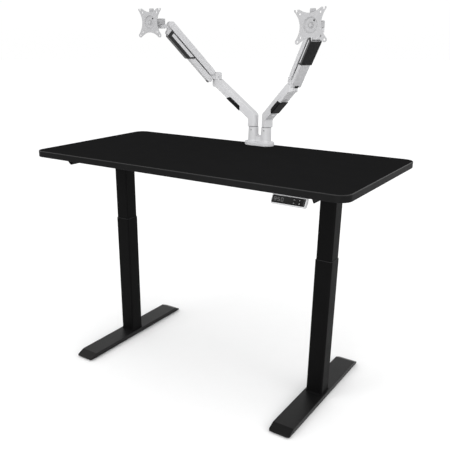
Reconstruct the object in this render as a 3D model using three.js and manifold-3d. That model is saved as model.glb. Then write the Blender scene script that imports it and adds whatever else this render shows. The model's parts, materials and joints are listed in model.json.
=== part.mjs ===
// Height-adjustable standing desk with two motorised columns and a clamped dual monitor arm.
// Millimetres. +Z is up, +X is to the sitter's right, -Y faces the sitter, and the floor is z = 0.
import * as THREE from "three";
import { mergeVertices } from "three/addons/utils/BufferGeometryUtils.js";
import Module from "manifold-3d";

const wasm = await Module();
wasm.setup();

// ---- driving dimensions -------------------------------------------------------------------
const GAP = 0.3; // running gap between pieces that meet

const desk = { width: 1400, depth: 700, thick: 25, top: 950, corner: 45, edge: 3 };
const under = desk.top - desk.thick; // underside of the desktop

const column = { x: 507, outer: 70, inner: 65, wall: 1.5, corner: 7, jointZ: 605, travel: 230 };
const foot = { length: 680, width: 88, bottom: 6, top: 26, bevel: 38, toe: 3, sheet: 3, corner: 8 };
const glide = { inset: 292, radius: 14, studRadius: 4, bossRadius: 10 };
const screw = { radius: 7, journal: 5, bottom: 275, collar: 11, collarLow: 850, collarTop: 858 };
const nut = { radius: 15, bore: 12, top: 545, height: 35 };
const sleeve = { inner: 65.4, outer: 66.6, height: 60, rim: 69, rimHeight: 1.2 };

const head = { width: 104, bottom: 862, top: 922, front: -60, back: 140, sheet: 3 };
const gearbox = { half: 30, bottom: 866, top: 910, corner: 5, boreDepth: 24 };
const motor = { radius: 23, z: 889.5, back: 126, bossRadius: 9 };
const rail = { width: 40, bottom: 892, sheet: 2 };
const bracket = { sheet: 2.5, flange: 64, drop: 33, halfLength: 304, tip: 279 };
const controlBox = { x: 90, y: 40, length: 240, width: 100, height: 30, corner: 6, ear: 14 };

const keypad = { x: 506, width: 124, front: -360, back: -328, bottom: 893, tilt: 24.5, corner: 7 };
const face = { x: 505, y: -350, z: 909, width: 119, height: 26, corner: 4, panel: 3, cavity: 1.6 };
const key = { width: 11, height: 8.5, proud: 0.5, rows: [5.4, -5.4], columns: [19, 38.5] };

const pole = { radius: 20, spacing: 64, split: 81, web: 40, spigot: 12, spigotHeight: 31 };
const armBase = { x: 20, y: 310, half: 35, radius: 35, thick: 16, bevel: 3 };
const clamp = { width: 70, back: 360, plate: 6, shelfBottom: 876, shelfTop: 884, reach: 292 };
const clampScrew = { y: 320, radius: 6, padRadius: 18, padThick: 4.7 };
const clampKnob = { radius: 15, bottom: 834, top: 848 };

const lower = { run: 186, rise: 195, innerBend: 47, outerBend: 33, bossHeight: 32, bossTop: 193 };
const groove = { half: 12, depth: 3.5, length: 132, middle: 99 };
const waist = { depth: 1.1, height: 17 }; // side recesses that take the skirts of the lower cover
const cover = { length: 90, skin: 2.2, proud: 3.2, catchLength: 74 };
const knuckle = { radius: 21, top: 26, spigot: 8, tongue: 14 };
const pivot = { x: 33, z: 27, pin: 4, radius: 12, lowerRadius: 8 }; // shell pivot from the elbow axis
const linkOffset = { x: 6.3, z: -28.3 }; // lower pivot from the upper pivot, at both ends
const spring = { length: 263, half: 22, wall: 3, top: 18, bottom: -8 };
const link = { half: 19, wall: 3, top: 11, bottom: -12 };
const clip = { start: 110, end: 268, top: -3, bottom: -18.5, wall: 2 };
const clipEnds = { top: 10, rear: 8, front: 17 }; // the raised tabs at both ends of the clip
const strut = { z: 4, radius: 8.5, rod: 4, tubeStart: 52, tubeEnd: 178 };
const eye = { radius: 5, rear: 40, front: 226 };
const swivel = { x: 39, z: 11, radius: 17, slot: -7.5, bottom: -23, top: 16 };
const tilt = { reach: 38, ear: 11, half: 16, tongue: 10.5 };
const plate = { reach: 77, thick: 3, ear: 9, big: 50, small: 37.5, waist: 23, cup: 28, cupDepth: 8.5 };

// Directions in degrees from +X: the lower link, the spring arm and its climb, and the plate's roll.
const arms = [
  { side: "left", sign: -1, lowerAzimuth: 184.7, upperAzimuth: 232.4, climb: 47, roll: 0 },
  { side: "right", sign: 1, lowerAzimuth: -28.8, upperAzimuth: 314.2, climb: 41.2, roll: 4.9 },
];

// ---- materials ----------------------------------------------------------------------------
const paint = (color, roughness, metalness) =>
  new THREE.MeshStandardMaterial({ color, roughness, metalness });
const materials = {
  laminate: paint(0x1f1f20, 0.6, 0),
  blackSteel: paint(0x1c1c1d, 0.55, 0.1),
  steel: paint(0x9a9c9e, 0.35, 1),
  brass: paint(0xb08d4c, 0.4, 1),
  blackPlastic: paint(0x161617, 0.5, 0),
  glossBlack: paint(0x09090a, 0.12, 0),
  silver: paint(0xd0d1d3, 0.4, 0),
  nylon: paint(0x2a2a2b, 0.6, 0),
  rubber: paint(0x141414, 0.85, 0),
  armWhite: paint(0xc6c8ca, 0.45, 0.1),
};

// ---- geometry helpers ---------------------------------------------------------------------
const rad = THREE.MathUtils.degToRad;

function toSolid(geometry) {
  const bare = geometry.clone();
  bare.deleteAttribute("normal");
  bare.deleteAttribute("uv");
  const merged = mergeVertices(bare, 1e-4);
  const vertProperties = new Float32Array(merged.attributes.position.array);
  const triVerts = new Uint32Array(merged.index.array);
  return new wasm.Manifold(new wasm.Mesh({ numProp: 3, vertProperties, triVerts }));
}

function toGeometry(solid) {
  const mesh = solid.getMesh();
  const geometry = new THREE.BufferGeometry();
  geometry.setAttribute("position", new THREE.BufferAttribute(mesh.vertProperties, 3));
  geometry.setIndex(new THREE.BufferAttribute(mesh.triVerts, 1));
  return geometry;
}

// Joins the extra geometries to the first, then takes the tools away.
function shape(first, extras = [], tools = []) {
  let solid = toSolid(first);
  for (const extra of extras) solid = solid.add(toSolid(extra));
  for (const tool of tools) solid = solid.subtract(toSolid(tool));
  return toGeometry(solid);
}

function common(first, second) {
  return toGeometry(toSolid(first).intersect(toSolid(second)));
}

function box(xs, ys, zs) {
  const size = [xs, ys, zs].map(([low, high]) => high - low);
  const centre = [xs, ys, zs].map(([low, high]) => (low + high) / 2);
  return new THREE.BoxGeometry(...size).translate(...centre);
}

// An upright cylinder.
function rod(radius, [low, high], x = 0, y = 0, sides = 20) {
  const geometry = new THREE.CylinderGeometry(radius, radius, high - low, sides);
  return geometry.rotateX(Math.PI / 2).translate(x, y, (low + high) / 2);
}

// A cylinder along Y, centred on the XZ point.
function pinY(radius, half, x, z, sides = 12) {
  return new THREE.CylinderGeometry(radius, radius, 2 * half, sides).translate(x, 0, z);
}

function roundedRectangle(width, height, radius) {
  const outline = new THREE.Shape();
  const x = width / 2 - radius;
  const y = height / 2 - radius;
  outline.absarc(x, y, radius, 0, Math.PI / 2);
  outline.absarc(-x, y, radius, Math.PI / 2, Math.PI);
  outline.absarc(-x, -y, radius, Math.PI, 1.5 * Math.PI);
  outline.absarc(x, -y, radius, 1.5 * Math.PI, 2 * Math.PI);
  return outline;
}

// A horizontal slab of an outline, with its upright edges between two heights.
function slab(outline, [low, high], bevel = 0, curveSegments = 3) {
  const settings = {
    depth: high - low - 2 * bevel,
    curveSegments,
    bevelEnabled: bevel > 0,
    bevelThickness: bevel,
    bevelSize: bevel,
    bevelOffset: -bevel,
    bevelSegments: 1,
  };
  return new THREE.ExtrudeGeometry(outline, settings).translate(0, 0, low + bevel);
}

// An XZ outline, extruded across Y.
function acrossY(outline, [low, high], curveSegments = 5) {
  const source = Array.isArray(outline) ? polygon(outline) : outline;
  const settings = { depth: high - low, curveSegments, bevelEnabled: false };
  return new THREE.ExtrudeGeometry(source, settings).rotateX(Math.PI / 2).translate(0, high, 0);
}

// A YZ outline, extruded across X.
function acrossX(points, [low, high]) {
  const settings = { depth: high - low, bevelEnabled: false };
  const turn = new THREE.Matrix4().makeBasis(
    new THREE.Vector3(0, 1, 0),
    new THREE.Vector3(0, 0, 1),
    new THREE.Vector3(1, 0, 0),
  );
  return new THREE.ExtrudeGeometry(polygon(points), settings).applyMatrix4(turn).translate(low, 0, 0);
}

function polygon(points) {
  return new THREE.Shape(points.map(([x, y]) => new THREE.Vector2(x, y)));
}

// A stadium between two X values, with a given half height about y.
function stadium(start, end, half, y = 0) {
  const outline = new THREE.Shape();
  outline.absarc(end, y, half, -Math.PI / 2, Math.PI / 2);
  outline.absarc(start, y, half, Math.PI / 2, 1.5 * Math.PI);
  return outline;
}

function squareTube(width, wall, corner, heights) {
  const outline = roundedRectangle(width, width, corner);
  outline.holes.push(roundedRectangle(width - 2 * wall, width - 2 * wall, corner - wall));
  return slab(outline, heights, 0, 2);
}

const desktopGroup = new THREE.Group();

function add(parent, name, geometry, material) {
  const mesh = new THREE.Mesh(geometry, material);
  mesh.name = name;
  parent.add(mesh);
}

function frameAt(parent, x, y, z) {
  const group = new THREE.Group();
  group.position.set(x, y, z);
  parent.add(group);
  return group;
}

// ---- desktop and frame --------------------------------------------------------------------
function makeDesktop() {
  const outline = roundedRectangle(desk.width, desk.depth, desk.corner);
  return shape(slab(outline, [under, desk.top], desk.edge, 5));
}

// An L of folded sheet: the flat flange lies under the desktop, the other hangs outside the head.
function makeSideBracket() {
  const outside = head.width / 2 + GAP + bracket.sheet;
  const top = under - 0.2;
  const flat = box([outside - bracket.flange, outside], [-bracket.halfLength, bracket.halfLength],
    [top - bracket.sheet, top]);
  const hanging = acrossX([
    [-bracket.halfLength, top],
    [-bracket.tip, top - bracket.drop],
    [bracket.tip, top - bracket.drop],
    [bracket.halfLength, top],
  ], [outside - bracket.sheet, outside]);
  return shape(flat, [hanging]);
}

function makeCrossbar(y) {
  const end = column.x - head.width / 2 - GAP;
  const top = under - 0.2;
  const outer = box([-end, end], [y, y + rail.width], [rail.bottom, top]);
  const hollow = box([-end - 1, end + 1], [y + rail.sheet, y + rail.width - rail.sheet],
    [rail.bottom - 1, top - rail.sheet]);
  return shape(outer, [], [hollow]);
}

// The folded channel on top of the column, open upwards, which holds the gearbox and motor.
function makeLegHead() {
  const half = head.width / 2;
  const outer = box([-half, half], [head.front, head.back], [head.bottom, head.top]);
  const inside = half - head.sheet;
  const hollow = box([-inside, inside], [head.front - 1, head.back + 1],
    [head.bottom + head.sheet, head.top + 1]);
  const shaftHole = rod(screw.collar + 1, [head.bottom - 1, head.bottom + head.sheet + 1]);
  return shape(outer, [], [hollow, shaftHole]);
}

function makeGearbox() {
  const plan = roundedRectangle(2 * gearbox.half, 2 * gearbox.half, gearbox.corner);
  const body = slab(plan, [gearbox.bottom, gearbox.top], 0, 2);
  const boreTop = gearbox.bottom + gearbox.boreDepth;
  const bore = rod(screw.journal + GAP, [gearbox.bottom - 1, boreTop], 0, 0, 14);
  return shape(body, [], [bore]);
}

// A motor can lying along Y behind the gearbox, turned from a profile.
function makeMotor() {
  const front = gearbox.half + GAP;
  const length = motor.back - front;
  const profile = [
    [0, 0], [motor.radius, 0], [motor.radius, length - 8],
    [motor.radius - 4, length - 3], [motor.bossRadius, length - 3], [motor.bossRadius, length],
    [0, length],
  ].map(([x, y]) => new THREE.Vector2(x, y));
  return shape(new THREE.LatheGeometry(profile, 20).translate(0, front, motor.z));
}

function makeInnerTube() {
  const bottom = column.jointZ - column.travel - 113;
  return shape(squareTube(column.inner, column.wall, column.corner - 1, [bottom, head.bottom - GAP]));
}

function makeOuterTube() {
  return shape(squareTube(column.outer, column.wall, column.corner, [foot.top + 0.1, column.jointZ]));
}

// A thin plastic liner between the two tubes, with a rim that sits on the outer tube.
function makeGlideSleeve() {
  const wall = (sleeve.outer - sleeve.inner) / 2;
  const top = column.jointZ + 0.2;
  const liner = squareTube(sleeve.outer, wall, column.corner - 1.2, [top - sleeve.height, top + 0.5]);
  const rimWall = (sleeve.rim - sleeve.inner) / 2;
  const rim = squareTube(sleeve.rim, rimWall, column.corner - 0.4, [top, top + sleeve.rimHeight]);
  return shape(liner, [rim]);
}

function makeLeadScrew() {
  const journalTop = gearbox.bottom + gearbox.boreDepth - 2;
  return shape(rod(screw.radius, [screw.bottom, screw.collarLow + 1], 0, 0, 14), [
    rod(screw.collar, [screw.collarLow, screw.collarTop]),
    rod(screw.journal, [screw.collarTop - 1, journalTop], 0, 0, 14),
  ]);
}

// The drive nut on its push tube, which stands on the foot.
function makeScrewNut() {
  const bottom = foot.top + 0.1;
  const low = nut.top - nut.height;
  return shape(rod(nut.radius, [bottom, nut.top]), [], [
    rod(nut.bore, [bottom - 1, low]),
    rod(screw.radius + GAP, [low - 1, nut.top + 1], 0, 0, 14),
  ]);
}

// A pressed foot: sheet on top, at the sides and on both bevels, open below, with two bosses.
function makeFoot() {
  const half = foot.length / 2;
  const side = (end, low, high) => [
    [-end, low],
    [end, low],
    [end, low + foot.toe],
    [end - foot.bevel, high],
    [foot.bevel - end, high],
    [-end, low + foot.toe],
  ];
  const bar = acrossX(side(half, foot.bottom, foot.top), [-foot.width / 2, foot.width / 2]);
  const plan = slab(roundedRectangle(foot.width, foot.length, foot.corner), [0, 40], 0, 2);
  const inner = side(half - foot.sheet * 2, foot.bottom - 2, foot.top - foot.sheet);
  const hollow = acrossX(inner, [foot.sheet - foot.width / 2, foot.width / 2 - foot.sheet]);
  const bosses = [-1, 1].map((end) =>
    rod(glide.bossRadius, [foot.bottom + 1, foot.top - 1], 0, end * glide.inset, 12));
  const bores = [-1, 1].map((end) =>
    rod(glide.studRadius + GAP, [foot.bottom - 1, foot.top - 3.5], 0, end * glide.inset, 12));
  const pressed = shape(common(bar, plan), [], [hollow]);
  return shape(pressed, bosses, bores);
}

function makeGlide() {
  const profile = [
    [0, 0], [glide.radius - 1.5, 0], [glide.radius, 1.5], [glide.radius, foot.bottom - GAP],
    [glide.studRadius, foot.bottom - GAP], [glide.studRadius, 20], [0, 20],
  ].map(([x, y]) => new THREE.Vector2(x, y));
  return shape(new THREE.LatheGeometry(profile, 12).rotateX(Math.PI / 2));
}

function makeControlBox() {
  const outline = roundedRectangle(controlBox.length, controlBox.width, controlBox.corner);
  const top = under - 0.2;
  const body = slab(outline, [top - controlBox.height, top], 2, 3);
  const reach = controlBox.length / 2 + controlBox.ear;
  const ears = box([-reach, reach], [-controlBox.ear, controlBox.ear], [top - 3, top]);
  return shape(body, [ears]).translate(controlBox.x, controlBox.y, 0);
}

// ---- keypad -------------------------------------------------------------------------------
// The face's own frame: X across, Y up the slope, Z out of the face.
function faceMatrix() {
  const turn = new THREE.Matrix4().makeRotationX(rad(90 - keypad.tilt));
  return turn.setPosition(face.x, face.y, face.z);
}

function makeKeypadHousing() {
  const half = keypad.width / 2;
  const top = under - 0.2;
  const lean = (top - keypad.bottom - 3) * Math.tan(rad(keypad.tilt));
  const wedge = acrossX([
    [keypad.front + lean + 3, top],
    [keypad.front, keypad.bottom + 3],
    [keypad.front + 3, keypad.bottom],
    [keypad.back - 12, keypad.bottom],
    [keypad.back, keypad.bottom + 12],
    [keypad.back, top],
  ], [keypad.x - half, keypad.x + half]);
  const depth = keypad.back - keypad.front;
  const outline = roundedRectangle(keypad.width, 2 * depth, keypad.corner);
  const plan = slab(outline, [keypad.bottom - 1, top], 0, 3);
  plan.translate(keypad.x, keypad.front + depth, 0);
  const recessOutline = roundedRectangle(face.width, face.height, face.corner);
  const recess = slab(recessOutline, [-face.panel - face.cavity, 12], 0, 3);
  recess.applyMatrix4(faceMatrix());
  return shape(common(wedge, plan), [], [recess]);
}

function keyOutline(grow) {
  return roundedRectangle(key.width + 2 * grow, key.height + 2 * grow, 1.5 + grow);
}

function makeKeypadPanel() {
  const width = face.width - 2 * GAP;
  const outline = roundedRectangle(width, face.height - 2 * GAP, face.corner - GAP);
  const body = slab(outline, [-face.panel, 0], 0, 3);
  const holes = [];
  for (const y of key.rows) {
    for (const x of key.columns) {
      holes.push(slab(keyOutline(GAP), [-face.panel - 1, 1], 0, 2).translate(x, y, 0));
    }
  }
  return shape(body, [], holes);
}

function addKeypad(parent) {
  add(parent, "keypad_housing", makeKeypadHousing(), materials.silver);
  const tilted = new THREE.Group();
  tilted.applyMatrix4(faceMatrix());
  parent.add(tilted);
  add(tilted, "keypad_panel", makeKeypadPanel(), materials.glossBlack);
  const names = [["key_up", "key_memory_1"], ["key_down", "key_memory_2"]];
  key.rows.forEach((y, row) => {
    key.columns.forEach((x, place) => {
      const cap = slab(keyOutline(0), [-face.panel, key.proud], 0, 2).translate(x, y, 0);
      add(tilted, names[row][place], shape(cap), materials.blackPlastic);
    });
  });
}

// ---- monitor arm base and clamp -----------------------------------------------------------
function makeArmBase() {
  const low = desk.top + 0.2;
  const top = low + armBase.thick;
  const plan = stadium(-armBase.half, armBase.half, armBase.radius);
  const flange = slab(plan, [low, top], armBase.bevel, 8);
  const polesX = [-pole.spacing / 2, pole.spacing / 2];
  const split = desk.top + pole.split - GAP;
  const web = box([-pole.spacing / 2, pole.spacing / 2], [-16, 16], [low + 2, desk.top + pole.web]);
  const tongue = box([-clamp.width / 2, clamp.width / 2], [0, clamp.back - armBase.y], [low, top - 3]);
  const extras = [web, tongue];
  for (const x of polesX) {
    extras.push(rod(pole.radius, [low + 2, split], x, 0));
    extras.push(rod(pole.spigot, [split - 1, split + pole.spigotHeight], x, 0, 14));
  }
  return shape(flange, extras).translate(armBase.x, armBase.y, 0);
}

// A J of steel plate behind the rear edge, with a shelf for the clamp screw under the desktop.
function makeClampBracket() {
  const top = desk.top - 0.1;
  const across = [armBase.x - clamp.width / 2, armBase.x + clamp.width / 2];
  const upright = box(across, [clamp.back - clamp.plate, clamp.back], [clamp.shelfBottom, top]);
  const shelf = box(across, [clamp.reach, clamp.back], [clamp.shelfBottom, clamp.shelfTop]);
  const heights = [clamp.shelfBottom - 1, clamp.shelfTop + 1];
  const bore = rod(clampScrew.radius + GAP, heights, armBase.x, clampScrew.y, 12);
  return shape(upright, [shelf], [bore]);
}

function makeClampScrew() {
  const padTop = under - GAP;
  const padLow = padTop - clampScrew.padThick;
  return shape(rod(clampScrew.radius, [clampKnob.top - 2, padLow + 1], 0, 0, 12), [
    rod(clampScrew.padRadius, [padLow, padTop]),
    rod(clampKnob.radius, [clampKnob.bottom, clampKnob.top], 0, 0, 12),
  ]).translate(armBase.x, clampScrew.y, 0);
}

// ---- monitor arms -------------------------------------------------------------------------
const lowerSlope = (lower.bossTop - 2 - lower.innerBend) / lower.run;

// A frame on the link's lower face at mid-groove: X up the slope and Z out of the face.
function lowerFaceMatrix() {
  const height = lower.outerBend + (groove.middle - pole.radius) * lowerSlope;
  const turn = new THREE.Matrix4().makeRotationY(-Math.atan(lowerSlope));
  turn.multiply(new THREE.Matrix4().makeRotationX(Math.PI));
  return turn.setPosition(groove.middle, 0, height);
}

// Collar, inclined link and elbow boss in one: a side profile cut to a stadium in plan.
function makeLowerArm() {
  const bossBottom = lower.bossTop - lower.bossHeight;
  const meetLow = pole.radius + (bossBottom - lower.outerBend) / lowerSlope;
  const meetHigh = -pole.radius + (lower.bossTop - lower.innerBend) / lowerSlope;
  const end = lower.run + pole.radius;
  const profile = acrossY([
    [-pole.radius, 0], [pole.radius, 0], [pole.radius, lower.outerBend], [meetLow, bossBottom],
    [end, bossBottom], [end, lower.bossTop], [meetHigh, lower.bossTop],
    [-pole.radius, lower.innerBend],
  ], [-pole.radius, pole.radius]);
  const plan = slab(stadium(0, lower.run, pole.radius), [-1, lower.bossTop + 1], 0, 10);
  const grooveEnd = groove.length / 2;
  const cableGroove = box([-grooveEnd, grooveEnd], [-groove.half, groove.half], [-groove.depth, 4]);
  const waists = [-1, 1].map((side) => {
    const cut = [side * (pole.radius - waist.depth), side * (pole.radius + 1)];
    return box([-grooveEnd, grooveEnd], cut.sort((a, b) => a - b), [-waist.height, 4]);
  });
  const onFace = [cableGroove, ...waists].map((tool) => tool.applyMatrix4(lowerFaceMatrix()));
  const collarBore = rod(pole.spigot + 0.4, [-1, pole.spigotHeight + 1], 0, 0, 14);
  const boreHeights = [lower.bossTop - 26, lower.bossTop + 1];
  const bossBore = rod(knuckle.spigot + 0.4, boreHeights, lower.run, 0, 14);
  return shape(common(profile, plan), [], [...onFace, collarBore, bossBore]);
}

// A snap-on cable cover that wraps the inclined link from below, in its waist.
function makeLowerClip() {
  const end = cover.length / 2;
  const inside = pole.radius - waist.depth + GAP;
  const outside = inside + cover.skin;
  const skirtEnd = 1 - waist.height;
  const outer = box([-end, end], [-outside, outside], [skirtEnd, cover.proud]);
  const hollow = box([-end - 1, end + 1], [-inside, inside], [skirtEnd - 1, 0.5]);
  const catchEnd = cover.catchLength / 2;
  const catchHalf = groove.half - 2 * GAP;
  const catches = box([-catchEnd, catchEnd], [-catchHalf, catchHalf], [1 - groove.depth, 1]);
  return shape(shape(outer, [], [hollow]), [catches]).applyMatrix4(lowerFaceMatrix());
}

// A tongue with two pivots: a disc round each and a web between them.
function tongueAt(x, z) {
  const half = knuckle.tongue;
  const lowX = x + linkOffset.x;
  const lowZ = z + linkOffset.z;
  return [
    pinY(pivot.radius, half, x, z),
    pinY(pivot.lowerRadius, half, lowX, lowZ),
    acrossY([[x - 9, z], [lowX - 6.5, lowZ], [lowX + 7.5, lowZ], [x + 11.5, z]], [-half, half]),
    pinY(pivot.pin, spring.half - 0.5, x, z, 10),
    pinY(pivot.pin, link.half, lowX, lowZ, 10),
  ];
}

function makeElbowKnuckle() {
  const low = lower.bossTop - lower.rise + GAP;
  const block = box([0, pivot.x - 4], [-knuckle.tongue, knuckle.tongue], [low, knuckle.top - 2]);
  return shape(rod(knuckle.radius, [low, knuckle.top]), [
    rod(knuckle.spigot, [low - 24, low + 2], 0, 0, 14),
    block,
    ...tongueAt(pivot.x, pivot.z),
  ]);
}

// The upper cover of the spring arm: a channel open downwards with round ends.
function makeArmShell() {
  const middle = (spring.top + spring.bottom) / 2;
  const half = (spring.top - spring.bottom) / 2;
  const outer = acrossY(stadium(0, spring.length, half, middle), [-spring.half, spring.half], 6);
  const inside = spring.half - spring.wall;
  const roof = spring.top - spring.wall;
  const hollow = box([-30, spring.length + 30], [-inside, inside], [spring.bottom - 1, roof]);
  const rear = box([-30, -2], [-inside, inside], [spring.bottom - 1, spring.top + 1]);
  const front = rear.clone().translate(spring.length + 32, 0, 0);
  const pins = [0, spring.length].map((x) => pinY(pivot.pin + GAP, spring.half + 1, x, 0, 10));
  return shape(outer, [], [hollow, rear, front, ...pins]);
}

// The lower bar of the parallelogram: a channel open upwards with round ends.
function makeArmLink() {
  const middle = (link.top + link.bottom) / 2;
  const half = (link.top - link.bottom) / 2;
  const outer = acrossY(stadium(0, spring.length, half, middle), [-link.half, link.half], 6);
  const inside = link.half - link.wall;
  const floor = link.bottom + link.wall;
  const hollow = box([-30, spring.length + 30], [-inside, inside], [floor, link.top + 1]);
  const rear = box([-30, 6], [-inside, inside], [link.bottom - 1, link.top]);
  const front = rear.clone().translate(spring.length + 24, 0, 0);
  const pins = [0, spring.length].map((x) => pinY(pivot.pin + GAP, link.half + 1, x, 0, 10));
  return shape(outer, [], [hollow, rear, front, ...pins]);
}

// A cable cover that wraps the underside of the lower bar.
function makeArmClip() {
  const inside = link.half + GAP;
  const outside = inside + clip.wall;
  const outer = box([clip.start, clip.end], [-outside, outside], [clip.bottom, clip.top]);
  const heights = [clip.top - 1, clipEnds.top];
  const rear = box([clip.start, clip.start + clipEnds.rear], [-outside, outside], heights);
  const front = box([clip.end - clipEnds.front, clip.end], [-outside, outside], heights);
  const hollow = box([clip.start - 1, clip.end + 1], [-inside, inside],
    [clip.bottom + clip.wall, clipEnds.top + 1]);
  return shape(outer, [rear, front], [hollow]);
}

// A gas spring under the cover, with an eye and cross pin at each end.
function makeGasSpring() {
  const along = (radius, start, end) =>
    new THREE.CylinderGeometry(radius, radius, end - start, 14).rotateZ(Math.PI / 2)
      .translate((start + end) / 2, 0, strut.z);
  const reach = spring.half - spring.wall - GAP;
  return shape(along(strut.radius, strut.tubeStart, strut.tubeEnd), [
    along(strut.rod, eye.rear, eye.front),
    pinY(eye.radius, reach, eye.rear, strut.z, 10),
    pinY(eye.radius, reach, eye.front, strut.z, 10),
  ]);
}

function makeEndBracket() {
  const half = knuckle.tongue;
  const slot = swivel.z + swivel.slot;
  const bottom = swivel.z + swivel.bottom;
  const neck = acrossY([
    [0, -9], [swivel.x, bottom], [swivel.x, slot], [swivel.x - swivel.radius - 2, slot],
    [6, slot + 4],
  ], [-half, half]);
  return shape(rod(swivel.radius, [bottom, slot], swivel.x), [neck, ...tongueAt(0, 0)]);
}

// The block that pans on the end bracket and carries the tilt fork. Its front is -Y.
function makePanBlock() {
  const low = swivel.slot + GAP;
  const across = [-tilt.half, tilt.half];
  const body = box(across, [-tilt.reach, 0], [low, tilt.ear]);
  const ears = new THREE.CylinderGeometry(tilt.ear, tilt.ear, 2 * tilt.half, 12)
    .rotateZ(Math.PI / 2).translate(0, -tilt.reach, 0);
  const slotHalf = tilt.tongue + 0.4;
  const slot = box([-slotHalf, slotHalf], [-tilt.reach - 20, -tilt.reach + 13], [-20, 20]);
  const bore = new THREE.CylinderGeometry(pivot.pin + GAP, pivot.pin + GAP, 60, 12)
    .rotateZ(Math.PI / 2).translate(0, -tilt.reach, 0);
  return shape(rod(swivel.radius, [low, swivel.top]), [body, ears], [slot, bore]);
}

// A cylinder along Y from one depth to another.
function alongY(radius, start, end, sides = 18) {
  return new THREE.CylinderGeometry(radius, radius, Math.abs(end - start), sides)
    .translate(0, (start + end) / 2, 0);
}

// Tilts on the fork: a tongue, a round flange, the spindle for the plate and an upright stop tab.
function makeTiltBlock() {
  const axis = -tilt.reach;
  const flangeFront = plate.cupDepth - plate.reach + GAP;
  const flangeBack = flangeFront + 4;
  const half = tilt.tongue;
  const knob = new THREE.CylinderGeometry(10, 10, 2 * half, 12)
    .rotateZ(Math.PI / 2).translate(0, axis, 0);
  const pin = new THREE.CylinderGeometry(pivot.pin, pivot.pin, 2 * tilt.half, 12)
    .rotateZ(Math.PI / 2).translate(0, axis, 0);
  const arm = box([-half, half], [flangeBack - 1, axis], [-8, 8]);
  const tab = box([-9, 9], [flangeBack - 1, flangeBack + 6], [10, 57]);
  return shape(alongY(22, flangeFront, flangeBack), [
    knob, pin, arm, tab,
    alongY(6, flangeFront + 1, 3 - plate.reach, 12),
  ]);
}

// The outline of the screen plate: four ears joined by sides that curve in.
function plateOutline() {
  const outline = new THREE.Shape();
  const reach = plate.big;
  for (let corner = 0; corner < 4; corner += 1) {
    const turn = corner * Math.PI / 2 + Math.PI / 4;
    const x = reach * Math.SQRT2 * Math.cos(turn);
    const y = reach * Math.SQRT2 * Math.sin(turn);
    outline.absarc(x, y, plate.ear, turn - 1.75, turn + 1.75);
    const middle = turn + Math.PI / 4;
    const next = turn + Math.PI / 2;
    const endX = reach * Math.SQRT2 * Math.cos(next) + plate.ear * Math.cos(next - 1.75);
    const endY = reach * Math.SQRT2 * Math.sin(next) + plate.ear * Math.sin(next - 1.75);
    const pullX = plate.waist * Math.cos(middle);
    const pullY = plate.waist * Math.sin(middle);
    outline.quadraticCurveTo(pullX, pullY, endX, endY);
  }
  return outline;
}

function makeScreenPlate() {
  const front = -plate.reach;
  const sheet = acrossY(plateOutline(), [front, front + plate.thick], 4);
  const floor = front + plate.cupDepth;
  const cup = alongY(plate.cup, front, floor);
  const recess = shape(alongY(plate.cup - 4, front - 1, floor - 3), [], [alongY(9, front + 1.5, floor)]);
  const hole = (radius, x, z) => pinY(radius, 30, x, z, 8).translate(0, front, 0);
  const tools = [recess, alongY(6.4, front - 2, floor + 1, 12), hole(2.5, 12, 14)];
  for (const x of [-1, 1]) {
    for (const z of [-1, 1]) tools.push(hole(2.6, x * plate.small, z * plate.small));
    tools.push(hole(2.8, x * plate.big, -plate.big));
    tools.push(hole(3, x * plate.big, plate.big - 2));
    const open = [x * plate.big - 3, x * plate.big + 3];
    tools.push(box(open, [front - 5, front + 9], [plate.big - 2, plate.big + 20]));
  }
  return shape(sheet, [cup], tools);
}

function addArm(parent, arm) {
  const x = armBase.x + arm.sign * pole.spacing / 2;
  const collar = frameAt(parent, x, armBase.y, desk.top + pole.split);
  collar.rotation.z = rad(arm.lowerAzimuth);
  add(collar, `${arm.side}_lower_arm`, makeLowerArm(), materials.armWhite);
  add(collar, `${arm.side}_lower_clip`, makeLowerClip(), materials.blackPlastic);

  const elbow = frameAt(collar, lower.run, 0, lower.rise);
  elbow.rotation.z = rad(arm.upperAzimuth - arm.lowerAzimuth);
  add(elbow, `${arm.side}_elbow_knuckle`, makeElbowKnuckle(), materials.armWhite);

  const upper = frameAt(elbow, pivot.x, 0, pivot.z);
  upper.rotation.y = -rad(arm.climb);
  add(upper, `${arm.side}_arm_shell`, makeArmShell(), materials.armWhite);
  add(upper, `${arm.side}_gas_spring`, makeGasSpring(), materials.steel);

  const bar = frameAt(elbow, pivot.x + linkOffset.x, 0, pivot.z + linkOffset.z);
  bar.rotation.y = -rad(arm.climb);
  add(bar, `${arm.side}_arm_link`, makeArmLink(), materials.armWhite);
  add(bar, `${arm.side}_arm_clip`, makeArmClip(), materials.blackPlastic);

  const reach = spring.length * Math.cos(rad(arm.climb));
  const climb = spring.length * Math.sin(rad(arm.climb));
  const end = frameAt(elbow, pivot.x + reach, 0, pivot.z + climb);
  add(end, `${arm.side}_end_bracket`, makeEndBracket(), materials.armWhite);

  const headFrame = frameAt(end, swivel.x, 0, swivel.z);
  headFrame.rotation.z = rad(-arm.upperAzimuth);
  add(headFrame, `${arm.side}_pan_block`, makePanBlock(), materials.armWhite);
  add(headFrame, `${arm.side}_tilt_block`, makeTiltBlock(), materials.armWhite);
  const roll = frameAt(headFrame, 0, 0, 0);
  roll.rotation.y = -rad(arm.roll);
  add(roll, `${arm.side}_screen_plate`, makeScreenPlate(), materials.armWhite);
}

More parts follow.
